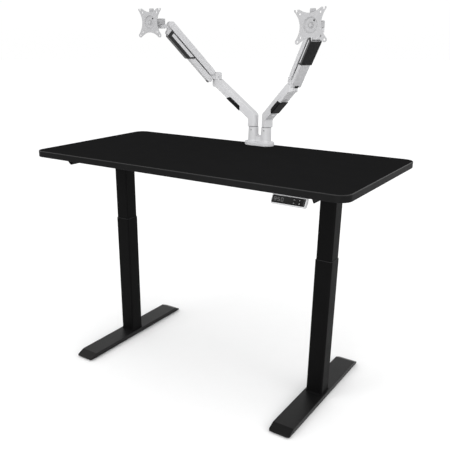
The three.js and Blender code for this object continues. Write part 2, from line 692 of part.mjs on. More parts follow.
// ---- assembly -----------------------------------------------------------------------------
function addColumn(side, sign) {
  const at = frameAt(desktopGroup, sign * column.x, 0, 0);
  const bracketGeometry = makeSideBracket();
  if (sign < 0) bracketGeometry.rotateZ(Math.PI);
  add(at, `side_bracket_${side}`, bracketGeometry, materials.blackSteel);
  add(at, `leg_head_${side}`, makeLegHead(), materials.blackSteel);
  add(at, `gearbox_${side}`, makeGearbox(), materials.steel);
  add(at, `drive_motor_${side}`, makeMotor(), materials.blackPlastic);
  add(at, `inner_tube_${side}`, makeInnerTube(), materials.blackSteel);
  add(at, `outer_tube_${side}`, makeOuterTube(), materials.blackSteel);
  add(at, `glide_sleeve_${side}`, makeGlideSleeve(), materials.nylon);
  add(at, `lead_screw_${side}`, makeLeadScrew(), materials.steel);
  add(at, `screw_nut_${side}`, makeScrewNut(), materials.brass);
  add(at, `foot_${side}`, makeFoot(), materials.blackSteel);
  for (const [end, y] of [["front", -glide.inset], ["rear", glide.inset]]) {
    const spot = frameAt(at, 0, y, 0);
    add(spot, `glide_${end}_${side}`, makeGlide(), materials.rubber);
  }
}

add(desktopGroup, "desktop", makeDesktop(), materials.laminate);
add(desktopGroup, "crossbar_front", makeCrossbar(head.front), materials.blackSteel);
add(desktopGroup, "crossbar_rear", makeCrossbar(head.back - rail.width), materials.blackSteel);
add(desktopGroup, "control_box", makeControlBox(), materials.blackPlastic);
addColumn("left", -1);
addColumn("right", 1);
addKeypad(desktopGroup);
add(desktopGroup, "arm_base", makeArmBase(), materials.armWhite);
add(desktopGroup, "clamp_bracket", makeClampBracket(), materials.armWhite);
add(desktopGroup, "clamp_screw", makeClampScrew(), materials.blackPlastic);
for (const arm of arms) addArm(desktopGroup, arm);

export default desktopGroup;
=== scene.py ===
"""Looks of a height-adjustable standing desk with a clamped dual monitor arm.

Lengths in the shape functions are millimetres in a piece's own frame. place() turns them into
metres in the shared frame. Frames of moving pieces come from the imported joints.
"""
import json
from math import asin, atan, atan2, cos, pi, radians, sin, sqrt, tan

import bmesh
import bpy
from mathutils import Matrix, Vector


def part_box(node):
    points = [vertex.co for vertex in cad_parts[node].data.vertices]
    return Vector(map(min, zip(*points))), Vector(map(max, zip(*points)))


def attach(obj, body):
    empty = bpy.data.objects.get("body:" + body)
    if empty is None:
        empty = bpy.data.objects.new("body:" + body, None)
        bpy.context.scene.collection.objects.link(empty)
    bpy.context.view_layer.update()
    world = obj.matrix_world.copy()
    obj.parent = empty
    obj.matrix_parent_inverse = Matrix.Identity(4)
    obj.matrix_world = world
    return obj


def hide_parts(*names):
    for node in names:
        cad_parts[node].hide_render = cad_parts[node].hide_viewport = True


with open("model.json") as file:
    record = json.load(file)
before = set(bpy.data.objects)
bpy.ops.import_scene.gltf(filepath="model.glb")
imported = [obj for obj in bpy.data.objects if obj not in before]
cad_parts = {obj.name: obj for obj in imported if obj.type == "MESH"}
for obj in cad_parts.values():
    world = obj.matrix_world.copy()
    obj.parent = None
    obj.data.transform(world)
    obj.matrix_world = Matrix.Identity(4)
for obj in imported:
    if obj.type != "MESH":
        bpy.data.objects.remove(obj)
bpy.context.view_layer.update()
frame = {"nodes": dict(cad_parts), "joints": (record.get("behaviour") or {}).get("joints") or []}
joints = {joint["name"]: joint for joint in frame["joints"]}
scene = bpy.context.scene
SIDES = (("left", -1), ("right", 1))
AS_IS = Matrix.Identity(4)
HALF_TURN = Matrix.Rotation(pi, 4, "Z")
MILLIMETRE = Matrix.Scale(0.001, 4)
SHARP_ANGLE = radians(30)


# ---- node boxes and joint frames ------------------------------------------------------------
def box_mm(node):
    """Lowest and highest corner of a CAD node, in millimetres."""
    low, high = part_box(node)
    return low * 1000, high * 1000


def point(joint_name):
    return Vector(joints[joint_name]["pos_m"]) * 1000


def at(x=0.0, y=0.0, z=0.0):
    return Matrix.Translation((x, y, z))


def azimuth(start, end):
    return atan2(end.y - start.y, end.x - start.x)


def frame_at(origin, turn=0.0, climb=0.0):
    """X runs out along the turn and up by the climb, both in radians; Z stays upright before the climb."""
    spin = Matrix.Rotation(turn, 4, "Z") @ Matrix.Rotation(-climb, 4, "Y")
    return Matrix.Translation(origin) @ spin


# ---- outlines -------------------------------------------------------------------------------
def fillet(corners, steps=6):
    """A closed outline from (x, y, radius) corners, each rounded by an arc."""
    points = []
    count = len(corners)
    for i, (x, y, radius) in enumerate(corners):
        here = Vector((x, y))
        if radius <= 0:
            points.append(here)
            continue
        before = (Vector(corners[i - 1][:2]) - here).normalized()
        after = (Vector(corners[(i + 1) % count][:2]) - here).normalized()
        half = before.angle(after) / 2
        reach = radius / tan(half)
        centre = here + (before + after).normalized() * radius / sin(half)
        first = here + before * reach - centre
        last = here + after * reach - centre
        sweep = first.angle_signed(last)
        for k in range(steps + 1):
            points.append(centre + Matrix.Rotation(-sweep * k / steps, 2) @ first)
    return points


def rectangle(width, height, radius, x=0.0, y=0.0, steps=6):
    w, h = width / 2, height / 2
    return fillet([(x + w, y + h, radius), (x - w, y + h, radius), (x - w, y - h, radius),
        (x + w, y - h, radius)], steps)


def arc(x, y, radius, start, end, steps):
    span = [start + (end - start) * k / steps for k in range(steps + 1)]
    return [Vector((x + radius * cos(a), y + radius * sin(a))) for a in span]


def circle(radius, x=0.0, y=0.0, steps=48):
    return arc(x, y, radius, 0, 2 * pi, steps)[:-1]


def stadium(start, end, half, y=0.0, steps=24):
    quarter = pi / 2
    return (arc(end, y, half, -quarter, quarter, steps) + arc(start, y, half, quarter, 3 * quarter, steps))


# ---- meshes ---------------------------------------------------------------------------------
def mesh_object(name, bm):
    mesh = bpy.data.meshes.new(name)
    bm.to_mesh(mesh)
    bm.free()
    piece = bpy.data.objects.new(name, mesh)
    scene.collection.objects.link(piece)
    return piece


def loft(name, loops, closed=False):
    """Joins loops of equal counts by quads, and caps the two ends unless it closes on itself."""
    bm = bmesh.new()
    rings = [[bm.verts.new(p) for p in loop] for loop in loops]
    pairs = list(zip(rings, rings[1:]))
    if closed:
        pairs.append((rings[-1], rings[0]))
    for a, b in pairs:
        for i in range(len(a)):
            j = (i + 1) % len(a)
            bm.faces.new((a[i], a[j], b[j], b[i]))
    if not closed:
        bm.faces.new(rings[0])
        bm.faces.new(rings[-1])
    bmesh.ops.recalc_face_normals(bm, faces=bm.faces)
    return mesh_object(name, bm)


def along(axis, u, v, w):
    """A point whose outline coordinates are u and v, w away along the axis."""
    return {"Z": (u, v, w), "Y": (u, w, v), "X": (w, u, v)}[axis]


def prism(name, outline, low, high, axis="Z"):
    return loft(name, [[along(axis, p[0], p[1], w) for p in outline] for w in (low, high)])


def cylinder(name, radius, low, high, axis="Z", u=0.0, v=0.0, steps=48):
    return prism(name, circle(radius, u, v, steps), low, high, axis)


def block(name, xs, ys, zs):
    outline = [(xs[0], ys[0]), (xs[1], ys[0]), (xs[1], ys[1]), (xs[0], ys[1])]
    return prism(name, outline, *zs)


def turned(name, profile, axis="Z", steps=48):
    """A solid of revolution from (radius, height) points, or a ring if no radius is zero."""
    ring = min(radius for radius, _ in profile) > 0
    loops = [[along(axis, p.x, p.y, height) for p in circle(max(radius, 0.01), 0, 0, steps)] for radius,
        height in profile]
    return loft(name, loops, closed=ring)


def soft_slab(name, outline, low, high, radius, steps=5):
    """A plate whose upper and lower rims are arcs. outline gives the rim's loop for an inset."""
    lower = arc(radius, low + radius, radius, 1.5 * pi, pi, steps)
    upper = arc(radius, high - radius, radius, pi, pi / 2, steps)
    return loft(name, [[(p.x, p.y, rim.y) for p in outline(rim.x)] for rim in lower + upper])


def square_ring(name, profile, core, steps=8):
    """A square tube swept from (half width, height) points; core is the half length of a flat side."""
    loops = []
    for half, height in profile:
        outline = rectangle(2 * half, 2 * half, half - core, steps=steps)
        loops.append([(p.x, p.y, height) for p in outline])
    return loft(name, loops, closed=True)


def delete(piece):
    mesh = piece.data
    bpy.data.objects.remove(piece)
    bpy.data.meshes.remove(mesh)


def bake(piece):
    """Applies the modifiers that the piece carries."""
    graph = bpy.context.evaluated_depsgraph_get()
    result = bpy.data.meshes.new_from_object(piece.evaluated_get(graph))
    old = piece.data
    piece.modifiers.clear()
    piece.data = result
    bpy.data.meshes.remove(old)
    return piece


def combine(piece, others, operation):
    for other in others:
        modifier = piece.modifiers.new("combine", "BOOLEAN")
        modifier.operation = operation
        modifier.object = other
        modifier.solver = "EXACT"
        bake(piece)
        delete(other)


def join(piece, *others):
    combine(piece, others, "UNION")


def cut(piece, *others):
    combine(piece, others, "DIFFERENCE")


def overlap(piece, other):
    combine(piece, [other], "INTERSECT")


def round_edges(piece, width, segments=3, angle=32):
    modifier = piece.modifiers.new("edges", "BEVEL")
    modifier.width = width
    modifier.segments = segments
    modifier.limit_method = "ANGLE"
    modifier.angle_limit = radians(angle)
    modifier.use_clamp_overlap = False
    modifier.miter_outer = "MITER_ARC"
    return bake(piece)


def moved(piece, matrix):
    piece.data.transform(matrix)
    return piece


def merged(name, pieces):
    """Puts separate closed bodies into one object."""
    bm = bmesh.new()
    for piece in pieces:
        bm.from_mesh(piece.data)
        delete(piece)
    return mesh_object(name, bm)


def place(piece, body, material, matrix=None, replaces=None):
    """Shades a finished piece, moves it to its place in the shared frame and lets it ride on its body."""
    mesh = piece.data
    mesh.transform(MILLIMETRE @ (matrix or AS_IS))
    mesh.materials.clear()
    mesh.materials.append(material)
    for polygon in mesh.polygons:
        polygon.material_index = 0
    mesh.shade_smooth()
    mesh.set_sharp_from_angle(angle=SHARP_ANGLE)
    normals = piece.modifiers.new("normals", "WEIGHTED_NORMAL")
    normals.keep_sharp = True
    normals.weight = 80
    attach(piece, body)
    if replaces:
        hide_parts(replaces)


# ---- materials ------------------------------------------------------------------------------
DRIFT_SCALE = 14.0  # slow change of tone over the surface, in waves per metre


def add_node(tree, kind, **values):
    """A node with its inputs set. An underscore in a name stands for a space."""
    node = tree.nodes.new(kind)
    for name, value in values.items():
        node.inputs[name.replace("_", " ")].default_value = value
    return node


def finish(slot, name, low, high, rough, grain, relief, specular=0.5, metal=0.0, stretch=(1, 1, 1)):
    """A procedural finish for a slot: fine grain in the bump, slow drift in tone and roughness.

    low and high are the greys or linear colours between which the surface drifts, rough the two
    roughness ends, grain the noise scale per metre and relief the height of the grain in metres.
    """
    material = bpy.data.materials.new(name)
    material.use_nodes = True
    tree = material.node_tree
    shader = tree.nodes["Principled BSDF"]
    coordinates = tree.nodes.new("ShaderNodeTexCoord")
    mapping = add_node(tree, "ShaderNodeMapping", Scale=stretch)
    fine = add_node(tree, "ShaderNodeTexNoise", Scale=grain, Detail=3.0, Roughness=0.55)
    slow = add_node(tree, "ShaderNodeTexNoise", Scale=DRIFT_SCALE, Detail=5.0)
    mean, half = tree.nodes.new("ShaderNodeMath"), tree.nodes.new("ShaderNodeMath")
    for node, operation in ((mean, "MULTIPLY_ADD"), (half, "MULTIPLY")):
        node.operation = operation
        node.inputs[1].default_value = 0.5
    colour = tree.nodes.new("ShaderNodeValToRGB")
    for element, position, level in zip(colour.color_ramp.elements, (0.35, 0.65), (low, high)):
        element.position = position
        element.color = (*(grey(level) if isinstance(level, float) else level), 1)
    roughness = add_node(tree, "ShaderNodeMapRange", From_Min=0.3, From_Max=0.7, To_Min=rough[0],
        To_Max=rough[1])
    bump = add_node(tree, "ShaderNodeBump", Distance=relief, Strength=0.6)
    wires = ((coordinates, "Object", mapping, "Vector"), (mapping, "Vector", fine, "Vector"),
        (mapping, "Vector", slow, "Vector"), (slow, "Fac", half, 0), (fine, "Fac", mean, 0),
        (half, "Value", mean, 2), (mean, "Value", colour, "Fac"), (colour, "Color", shader, "Base Color"),
        (mean, "Value", roughness, "Value"), (roughness, "Result", shader, "Roughness"),
        (fine, "Fac", bump, "Height"), (bump, "Normal", shader, "Normal"))
    for source, output, target, socket in wires:
        tree.links.new(source.outputs[output], target.inputs[socket])
    shader.inputs["Metallic"].default_value = metal
    shader.inputs["Specular IOR Level"].default_value = specular
    return material


def grey(level):
    return (level, level, level * 1.02)


LAMINATE = finish("desktop_laminate", "desk_laminate", 0.0098, 0.0108, (0.5, 0.62), 1400, 0.0002, 0.0)
# The edge band is real, but its laminate is darker than the top's: painted shade on the board's sides.
SHADED_EDGE_BAND = finish("desktop_laminate", "shaded_edge_band", 0.0068, 0.0082, (0.4, 0.5), 1800, 0.0001, 0.03)
# The rounded top edge gets a lighter, shinier copy of the laminate. Its sheen is real reflection; its
# lighter tone is a painted highlight line.
EDGE_HIGHLIGHT = finish("desktop_laminate", "edge_radius_highlight", 0.011, 0.013, (0.36, 0.44), 1800, 0.0001, 0.22)
POWDER = finish("black_steel", "black_powder_coat", 0.0028, 0.0038, (0.4, 0.52), 1700, 0.0002, 0.032)
# The feet get a lighter, shinier copy of the columns' black powder coat: painted light on the foot tops.
LIT_FOOT_POWDER = finish("black_steel", "lit_foot_powder_coat", 0.0052, 0.0066, (0.38, 0.48), 1700, 0.0002, 0.16)
ARM_PAINT = finish("arm_white", "arm_paint", 0.50, 0.52, (0.4, 0.48), 700, 0.00001, 0.3)
# The pan and tilt heads and the screen plates use the arms' white paint made darker: painted shade.
SHADED_HEAD_PAINT = finish("arm_white", "shaded_head_paint", 0.36, 0.38, (0.36, 0.44), 700, 0.00001, 0.4)
# A darker grey for the hub screw in the plate's dish: painted shade.
HUB_SHADE_PAINT = finish("arm_white", "hub_shade_paint", 0.20, 0.23, (0.3, 0.38), 700, 0.00001)
CLIP_PLASTIC = finish("black_plastic", "clip_plastic", 0.016, 0.019, (0.4, 0.5), 2200, 0.0001, 0.18)
COVER_PLASTIC = finish("black_plastic", "cover_plastic", 0.0065, 0.0085, (0.4, 0.5), 2200, 0.0001, 0.06)
BOX_PLASTIC = finish("black_plastic", "box_plastic", 0.009, 0.013, (0.45, 0.58), 1500, 0.0004, 0.2)
GLOSS = finish("gloss_black", "gloss_black", 0.003, 0.0045, (0.12, 0.16), 700, 0.00001, 0.08)
SILVER = finish("silver_plastic", "silver_plastic", 0.36, 0.40, (0.34, 0.42), 2400, 0.0001)
STEEL = finish("bright_steel", "machined_steel", 0.30, 0.38, (0.28, 0.4), 900, 0.0001, metal=1.0,
    stretch=(1, 1, 6))
ZINC = finish("bright_steel", "zinc_screw", 0.33, 0.42, (0.25, 0.36), 1200, 0.0001, metal=1.0)
DARK_SCREW = finish("black_steel", "black_screw", 0.012, 0.018, (0.3, 0.4), 1500, 0.0001, metal=0.6)
BRASS = finish("brass_nut", "brass", (0.40, 0.26, 0.08), (0.50, 0.33, 0.11), (0.28, 0.38), 900, 0.0001,
    metal=1.0)
NYLON = finish("nylon", "nylon", 0.016, 0.022, (0.48, 0.58), 1600, 0.0001, 0.3)
RUBBER = finish("rubber_black", "rubber", 0.011, 0.015, (0.75, 0.85), 1500, 0.0004, 0.2)
PRINT = finish("silver_plastic", "icon_print", 0.28, 0.32, (0.45, 0.55), 2500, 0.00002)
DIM_PRINT = finish("silver_plastic", "display_segments", 0.12, 0.14, (0.45, 0.55), 2500, 0.00002)
# Dark rings set in the gaps between parts: painted shade standing in for each gap's shadow line.
PAINTED_GAP_SHADE = finish("nylon", "shadow_gap", 0.02, 0.03, (0.6, 0.7), 1500, 0.0001, 0.2)


# ---- fasteners ------------------------------------------------------------------------------
def socket_screw(radius, height, steps=24):
    """A round head with a hexagonal socket, its seat at z = 0."""
    hexagon = []
    corner = Vector((radius * 0.52, 0, 0))
    for side in range(6):
        start = Matrix.Rotation(radians(60 * side), 3, "Z") @ corner
        end = Matrix.Rotation(radians(60 * side + 60), 3, "Z") @ corner
        for k in range(steps // 6):
            hexagon.append(start.lerp(end, k * 6 / steps))

    def ring(r, z):
        return [(p.x, p.y, z) for p in circle(r, 0, 0, steps)]

    def socket(z, size=1.0):
        return [(p.x * size, p.y * size, z) for p in hexagon]
    depth = height * 0.35
    return loft("screw", [ring(radius, -0.6), ring(radius, height * 0.45),
        ring(radius * 0.93, height * 0.8), ring(radius * 0.75, height), socket(height), socket(depth),
        socket(depth, 0.05)])


def hex_bolt(radius, height):
    """A hexagon head on a washer, its seat at z = 0."""
    flat_round = turned("flat_round", [(0, -0.4), (radius * 1.25, -0.4), (radius * 1.25, 1.2), (0, 1.2)], steps=32)
    head = prism("head", circle(radius, 0, 0, 6), 1.2, height)
    return merged("bolt", [flat_round, round_edges(head, 0.5, 2)])


def screws(name, size, spots, body, material, matrix=None, make=socket_screw):
    """Copies of one fastener of a radius and height at (position, rotation) spots, as one piece."""
    copies = [moved(make(*size), Matrix.Translation(position) @ turn) for position, turn in spots]
    place(merged(name, copies), body, material, matrix)


FACING_DOWN = Matrix.Rotation(pi, 4, "X")
FACING_FRONT = Matrix.Rotation(pi / 2, 4, "X")
FACING_BACK = Matrix.Rotation(-pi / 2, 4, "X")
FACING_RIGHT = Matrix.Rotation(pi / 2, 4, "Y")
FACING_LEFT = Matrix.Rotation(-pi / 2, 4, "Y")


# ---- desktop and the frame under it ---------------------------------------------------------
COLUMN_X = 507


def make_desktop():
    """A laminated board with a 2 mm band round its edges, rounded above and below."""
    low, high = box_mm("desktop")
    width, depth = high.x - low.x, high.y - low.y
    corner, band, soft, lip = 45, 2.0, 1.2, 2.4

    def outline(inset, z):
        shape = rectangle(width - 2 * inset, depth - 2 * inset, corner - inset, steps=18)
        return [(p.x, p.y, z) for p in shape]
    board = loft("desktop_board", [outline(band, low.z + 0.05), outline(band, high.z - lip),
        outline(lip, high.z - lip), outline(lip, high.z)])
    place(board, "top", LAMINATE, replaces="desktop")
    lower_arc = arc(soft, low.z + soft, soft, 1.5 * pi, pi, 5)
    section = [(p.x, p.y) for p in lower_arc]
    section += [(0, high.z - lip), (band - 0.02, high.z - lip), (band - 0.02, low.z)]
    edge = loft("desktop_edge_band", [outline(inset, z) for inset, z in section], closed=True)
    # The band's darker laminate paints shade on the board's sides.
    place(edge, "top", SHADED_EDGE_BAND)
    upper_arc = arc(lip, high.z - lip, lip, pi, pi / 2, 7)
    section = [(p.x, p.y) for p in upper_arc] + [(lip, high.z - lip)]
    radius = loft("desktop_edge_radius", [outline(inset, z) for inset, z in section], closed=True)
    # Painted highlight: the rounded top edge is lighter than the rest of the laminate.
    place(radius, "top", EDGE_HIGHLIGHT)


def make_side_bracket(side, sign):
    """A folded L whose lower corners are cut off at a slant, screwed up into the board."""
    low, high = box_mm(f"side_bracket_{side}")
    outside, flange, sheet, tip = 54.8, 64, 2.5, 25
    inside, top, bottom = outside - flange, high.z, low.z
    fold = [(inside, top, 0), (outside, top, 4), (outside, bottom, 0), (outside - sheet, bottom, 0),
        (outside - sheet, top - sheet, 1.5), (inside, top - sheet, 0)]
    piece = prism("side_bracket", fillet(fold), low.y, high.y, "Y")
    slant = [(low.y, top, 0), (low.y + tip, bottom, 7), (high.y - tip, bottom, 7), (high.y, top, 0)]
    overlap(piece, prism("slant", fillet(slant), inside - 5, outside + 5, "X"))
    spots = [(inside + 24, y) for y in (-270, -160, 180, 270)]
    for x, y in spots:
        cut(piece, cylinder("hole", 3.5, top - 10, top + 5, u=x, v=y, steps=24))
    matrix = at(sign * COLUMN_X) @ (AS_IS if sign > 0 else HALF_TURN)
    place(round_edges(piece, 0.6, 2), "top", POWDER, matrix, replaces=f"side_bracket_{side}")
    heads = [((x, y, top - sheet), FACING_DOWN) for x, y in spots]
    screws(f"bracket_screws_{side}", (6, 3.6), heads, "top", DARK_SCREW, matrix)


def make_crossbar(name):
    """A channel of folded sheet, open downwards, with flanges that turn in."""
    low, high = box_mm(name)
    sheet, lip = 2, 9
    y0, y1, z0, z1 = low.y, high.y, low.z, high.z
    section = [(y0, z0, 1), (y0, z1, 4), (y1, z1, 4), (y1, z0, 1), (y1 - lip, z0, 0),
        (y1 - lip, z0 + sheet, 0), (y1 - sheet, z0 + sheet, 0.5), (y1 - sheet, z1 - sheet, 2),
        (y0 + sheet, z1 - sheet, 2), (y0 + sheet, z0 + sheet, 0.5), (y0 + lip, z0 + sheet, 0),
        (y0 + lip, z0, 0)]
    piece = prism(name + "_rail", fillet(section, 4), low.x, high.x, "X")
    place(piece, "top", POWDER, replaces=name)


def make_leg_head(side, sign):
    low, high = box_mm(f"leg_head_{side}")
    half, sheet = (high.x - low.x) / 2, 3
    z0, z1 = low.z, high.z
    section = [(-half, z1, 0), (-half, z0, 6), (half, z0, 6), (half, z1, 0), (half - sheet, z1, 0),
        (half - sheet, z0 + sheet, 3), (sheet - half, z0 + sheet, 3), (sheet - half, z1, 0)]
    piece = prism("leg_head", fillet(section), low.y, high.y, "Y")
    cut(piece, cylinder("shaft_hole", 12, z0 - 1, z0 + 5))
    screw_y, screw_z = (low.y + 22, high.y - 22), z1 - 14
    for y in screw_y:
        for x in (-half, half):
            cut(piece, cylinder("side_hole", 4, x - 6, x + 6, "X", y, screw_z, 24))
    matrix = at(sign * COLUMN_X)
    place(round_edges(piece, 0.7, 2), "top", POWDER, matrix, replaces=f"leg_head_{side}")
    spots = [((x, y, z0 + sheet), AS_IS) for x in (-40, 40) for y in (-40, 40)]
    screws(f"column_bolts_{side}", (5.5, 5.5), spots, "top", ZINC, matrix, hex_bolt)
    facing = FACING_RIGHT if sign > 0 else FACING_LEFT
    outer = [((sign * (half + 2.8), y, screw_z), facing) for y in screw_y]
    screws(f"head_screws_{side}", (6.5, 3.2), outer, "top", DARK_SCREW, matrix)


def make_gearbox(side, sign):
    low, high = box_mm(f"gearbox_{side}")
    half = (high.x - low.x) / 2
    body = prism("gearbox_body", rectangle(2 * half, 2 * half, 7, steps=8), low.z, high.z)
    body = round_edges(body, 1.4, 3)
    cut(body, cylinder("output_bore", 5.3, low.z - 1, low.z + 23, steps=32))
    for x in (-1, 1):
        cut(body, block("waist", (x * half - 2, x * half + 2), (-14, 14), (low.z + 8, high.z - 8)))
    matrix = at(sign * COLUMN_X)
    place(round_edges(body, 0.5, 2, 50), "top", STEEL, matrix, replaces=f"gearbox_{side}")
    spots = [((x, y, high.z), AS_IS) for x in (-22, 22) for y in (-22, 22)]
    screws(f"gearbox_screws_{side}", (4, 3), spots, "top", ZINC, matrix)


def make_motor(side, sign):
    low, high = box_mm(f"drive_motor_{side}")
    axis_z = (low.z + high.z) / 2
    start, end, radius = low.y, high.y, (high.z - low.z) / 2
    profile = [(0, start), (radius - 1, start), (radius, start + 1), (radius, start + 14),
        (radius - 0.8, start + 14.6), (radius - 0.8, start + 16), (radius, start + 16.6),
        (radius, end - 20), (radius - 0.8, end - 19.4), (radius - 0.8, end - 18), (radius, end - 17.4),
        (radius, end - 9), (radius - 3.5, end - 3.5), (radius - 8, end - 3), (9, end - 3),
        (8.4, end - 0.6), (7.4, end), (0, end)]
    can = turned("motor_can", profile, "Y", 64)
    matrix = at(sign * COLUMN_X, 0, axis_z)
    place(can, "top", BOX_PLASTIC, matrix, replaces=f"drive_motor_{side}")
    spots = [((x, end - 3.2, 0), FACING_BACK) for x in (-15, 15)]
    screws(f"motor_screws_{side}", (2.6, 2.2), spots, "top", ZINC, matrix)


def make_control_box():
    low, high = box_mm("control_box")
    x, y, ear_top, ear, ear_hole = 90, 40, high.z, 3, 126
    ports = [x - 78 + port * 34 for port in range(4)]
    body = round_edges(prism("control_box_body", rectangle(240, 100, 8, x, y, 8), low.z, high.z), 2.4, 4)
    ears = round_edges(prism("ears", rectangle(268, 28, 10, x, y, 8), ear_top - ear, ear_top), 0.8, 2)
    join(body, ears)
    for spot in (-ear_hole, ear_hole):
        cut(body, cylinder("ear_hole", 2.4, ear_top - 8, ear_top + 4, u=x + spot, v=y, steps=24))
    for centre in ports:
        cut(body, prism("port", rectangle(22, 13, 1.5, centre, low.z + 15), y + 44, y + 60, "Y"))
    for slot in range(12):
        centre = x - 66 + slot * 12
        cut(body, prism("vent", rectangle(3, 46, 1.45, centre, y, 5), low.z - 2, low.z + 2.2))
    place(body, "top", BOX_PLASTIC, replaces="control_box")
    pins = [cylinder("pin", 0.9, y + 43.8, y + 47.5, "Y", centre + dx, low.z + 15 + dz, 12)
        for centre in ports for dx in (-5, 0, 5) for dz in (-2.5, 2.5)]
    place(merged("control_box_pins", pins), "top", BRASS)
    heads = [((x + spot, y, ear_top - ear), FACING_DOWN) for spot in (-ear_hole, ear_hole)]
    screws("control_box_screws", (4.6, 2.8), heads, "top", DARK_SCREW)


make_desktop()
for crossbar in ("crossbar_front", "crossbar_rear"):
    make_crossbar(crossbar)
for side, sign in SIDES:
    make_side_bracket(side, sign)
    make_leg_head(side, sign)
    make_gearbox(side, sign)
    make_motor(side, sign)
make_control_box()


# ---- columns and feet -----------------------------------------------------------------------
def make_tubes(side, sign):
    matrix = at(sign * COLUMN_X)
    low, high = box_mm(f"inner_tube_{side}")
    half = (high.x - low.x) / 2
    inner = square_ring("inner_stage", [(half, low.z), (half, high.z), (half - 1.5, high.z),
        (half - 1.5, low.z)], half - 6, 10)
    place(inner, "top", POWDER, matrix, replaces=f"inner_tube_{side}")

    low, high = box_mm(f"outer_tube_{side}")
    half = (high.x - low.x) / 2
    lip = 0.5
    outer = square_ring("outer_stage", [(half, low.z), (half, high.z - lip), (half - lip, high.z),
        (half - 1.5, high.z), (half - 1.5, low.z)], half - 7, 10)
    leg = f"{side}_leg"
    place(outer, leg, POWDER, matrix, replaces=f"outer_tube_{side}")
    weld = square_ring("weld_bead", [(half - 0.2, low.z), (half + 3.2, low.z), (half + 2.0, low.z + 1.6),
        (half + 0.8, low.z + 3.0), (half - 0.2, low.z + 4.2)], half - 7, 10)
    place(weld, leg, POWDER, matrix)

    low, high = box_mm(f"glide_sleeve_{side}")
    rim = (high.x - low.x) / 2
    bore, liner, seat = 32.7, 33.3, high.z - 1.2
    sleeve = square_ring("column_sleeve", [(bore, low.z), (bore, high.z - 0.3), (bore + 0.3, high.z),
        (rim - 0.5, high.z), (rim, high.z - 0.5), (rim, seat), (liner, seat), (liner, low.z)], bore - 6, 10)
    place(sleeve, leg, NYLON, matrix, replaces=f"glide_sleeve_{side}")


def make_foot(side, sign):
    """A pressed bar with slanted ends, open below, on two bosses for the glides."""
    low, high = box_mm(f"foot_{side}")
    width, length = high.x - low.x, high.y - low.y
    half, z0, z1, slant, toe, sheet = length / 2, low.z, high.z, 38, 3, 3

    def profile(end, bottom, top, bend):
        return fillet([(-end, bottom, 0), (end, bottom, 0), (end, bottom + toe, 0),
            (end - slant, top, bend), (slant - end, top, bend), (-end, bottom + toe, 0)], 6)
    bar = prism("foot_bar", profile(half, z0, z1, 5), -width / 2, width / 2, "X")
    overlap(bar, prism("plan", rectangle(width, length, 9, steps=8), 0, 40))
    bar = round_edges(bar, 1.0, 3, 40)
    inside = prism("inside", profile(half - 2 * sheet, z0 - 2, z1 - sheet, 4), sheet - width / 2,
        width / 2 - sheet, "X")
    cut(bar, inside)
    for end in (-1, 1):
        join(bar, cylinder("boss", 10, z0 + 1, z1 - 1, v=end * 292, steps=40))
        cut(bar, cylinder("bore", 4.3, z0 - 1, z1 - 3.5, v=end * 292, steps=24))
    leg = f"{side}_leg"
    matrix = at(sign * COLUMN_X)
    # Painted light: the feet carry the lighter copy of the black powder coat.
    place(bar, leg, LIT_FOOT_POWDER, matrix, replaces=f"foot_{side}")
    spots = [((x, y, z1 - sheet), FACING_DOWN) for x in (-20, 20) for y in (-20, 20)]
    screws(f"foot_bolts_{side}", (6, 6), spots, leg, ZINC, matrix, hex_bolt)


def make_glide(node):
    low, high = box_mm(node)
    centre = (low + high) / 2
    radius = (high.x - low.x) / 2
    profile = [(0, 0), (radius - 2, 0), (radius - 0.6, 0.5), (radius, 1.6), (radius, 3.4),
        (radius - 1, 4.6), (8.5, 5.1), (8, 5.6), (4, 5.6)]
    thread = []
    for turn in range(11):
        thread.extend([(3.4, 6.2 + turn * 1.2), (3.98, 6.8 + turn * 1.2)])
    pad = turned(node + "_pad", profile + thread + [(3.4, high.z - 0.3), (0, high.z)], steps=40)
    matrix = at(centre.x, centre.y, 0)
    place(pad, node, RUBBER, matrix, replaces=node)


def finish_hidden_drive(side):
    """The screw and its push tube stay as they are in the frame, inside the column."""
    for node, material in ((f"lead_screw_{side}", STEEL), (f"screw_nut_{side}", BRASS)):
        target = frame["nodes"][node]
        target.data.materials.clear()
        target.data.materials.append(material)
        edges = target.modifiers.new("edges", "BEVEL")
        edges.width = 0.0005
        edges.segments = 2
        edges.limit_method = "ANGLE"


for side, sign in SIDES:
    make_tubes(side, sign)
    make_foot(side, sign)
    make_glide(f"glide_front_{side}")
    make_glide(f"glide_rear_{side}")
    finish_hidden_drive(side)


# ---- keypad ---------------------------------------------------------------------------------
FACE_TILT = radians(24.5)
FACE_CENTRE = Vector((505, -350, 909))
FACE = Matrix.Translation(FACE_CENTRE) @ Matrix.Rotation(pi / 2 - FACE_TILT, 4, "X")
FACE_WIDTH, FACE_HEIGHT = 119, 26
KEYS = {"key_up": (19, 5.4), "key_memory_1": (38.5, 5.4), "key_down": (19, -5.4),
    "key_memory_2": (38.5, -5.4)}
KEY_SIGNS = {
    "key_up": [(-2, -1, 0, 1.2), (0, 1.2, 2, -1)],
    "key_down": [(-2, 1, 0, -1.2), (0, -1.2, 2, 1)],
    "key_memory_1": [(-0.9, 1.1, 0, 2), (0, 2, 0, -2)],
    "key_memory_2": [(-1.3, 2, 1.3, 2), (1.3, 2, 1.3, 0), (1.3, 0, -1.3, 0), (-1.3, 0, -1.3, -2),
        (-1.3, -2, 1.3, -2)]}
KEY_WIDTH, KEY_HEIGHT, KEY_PROUD = 11, 8.5, 0.5


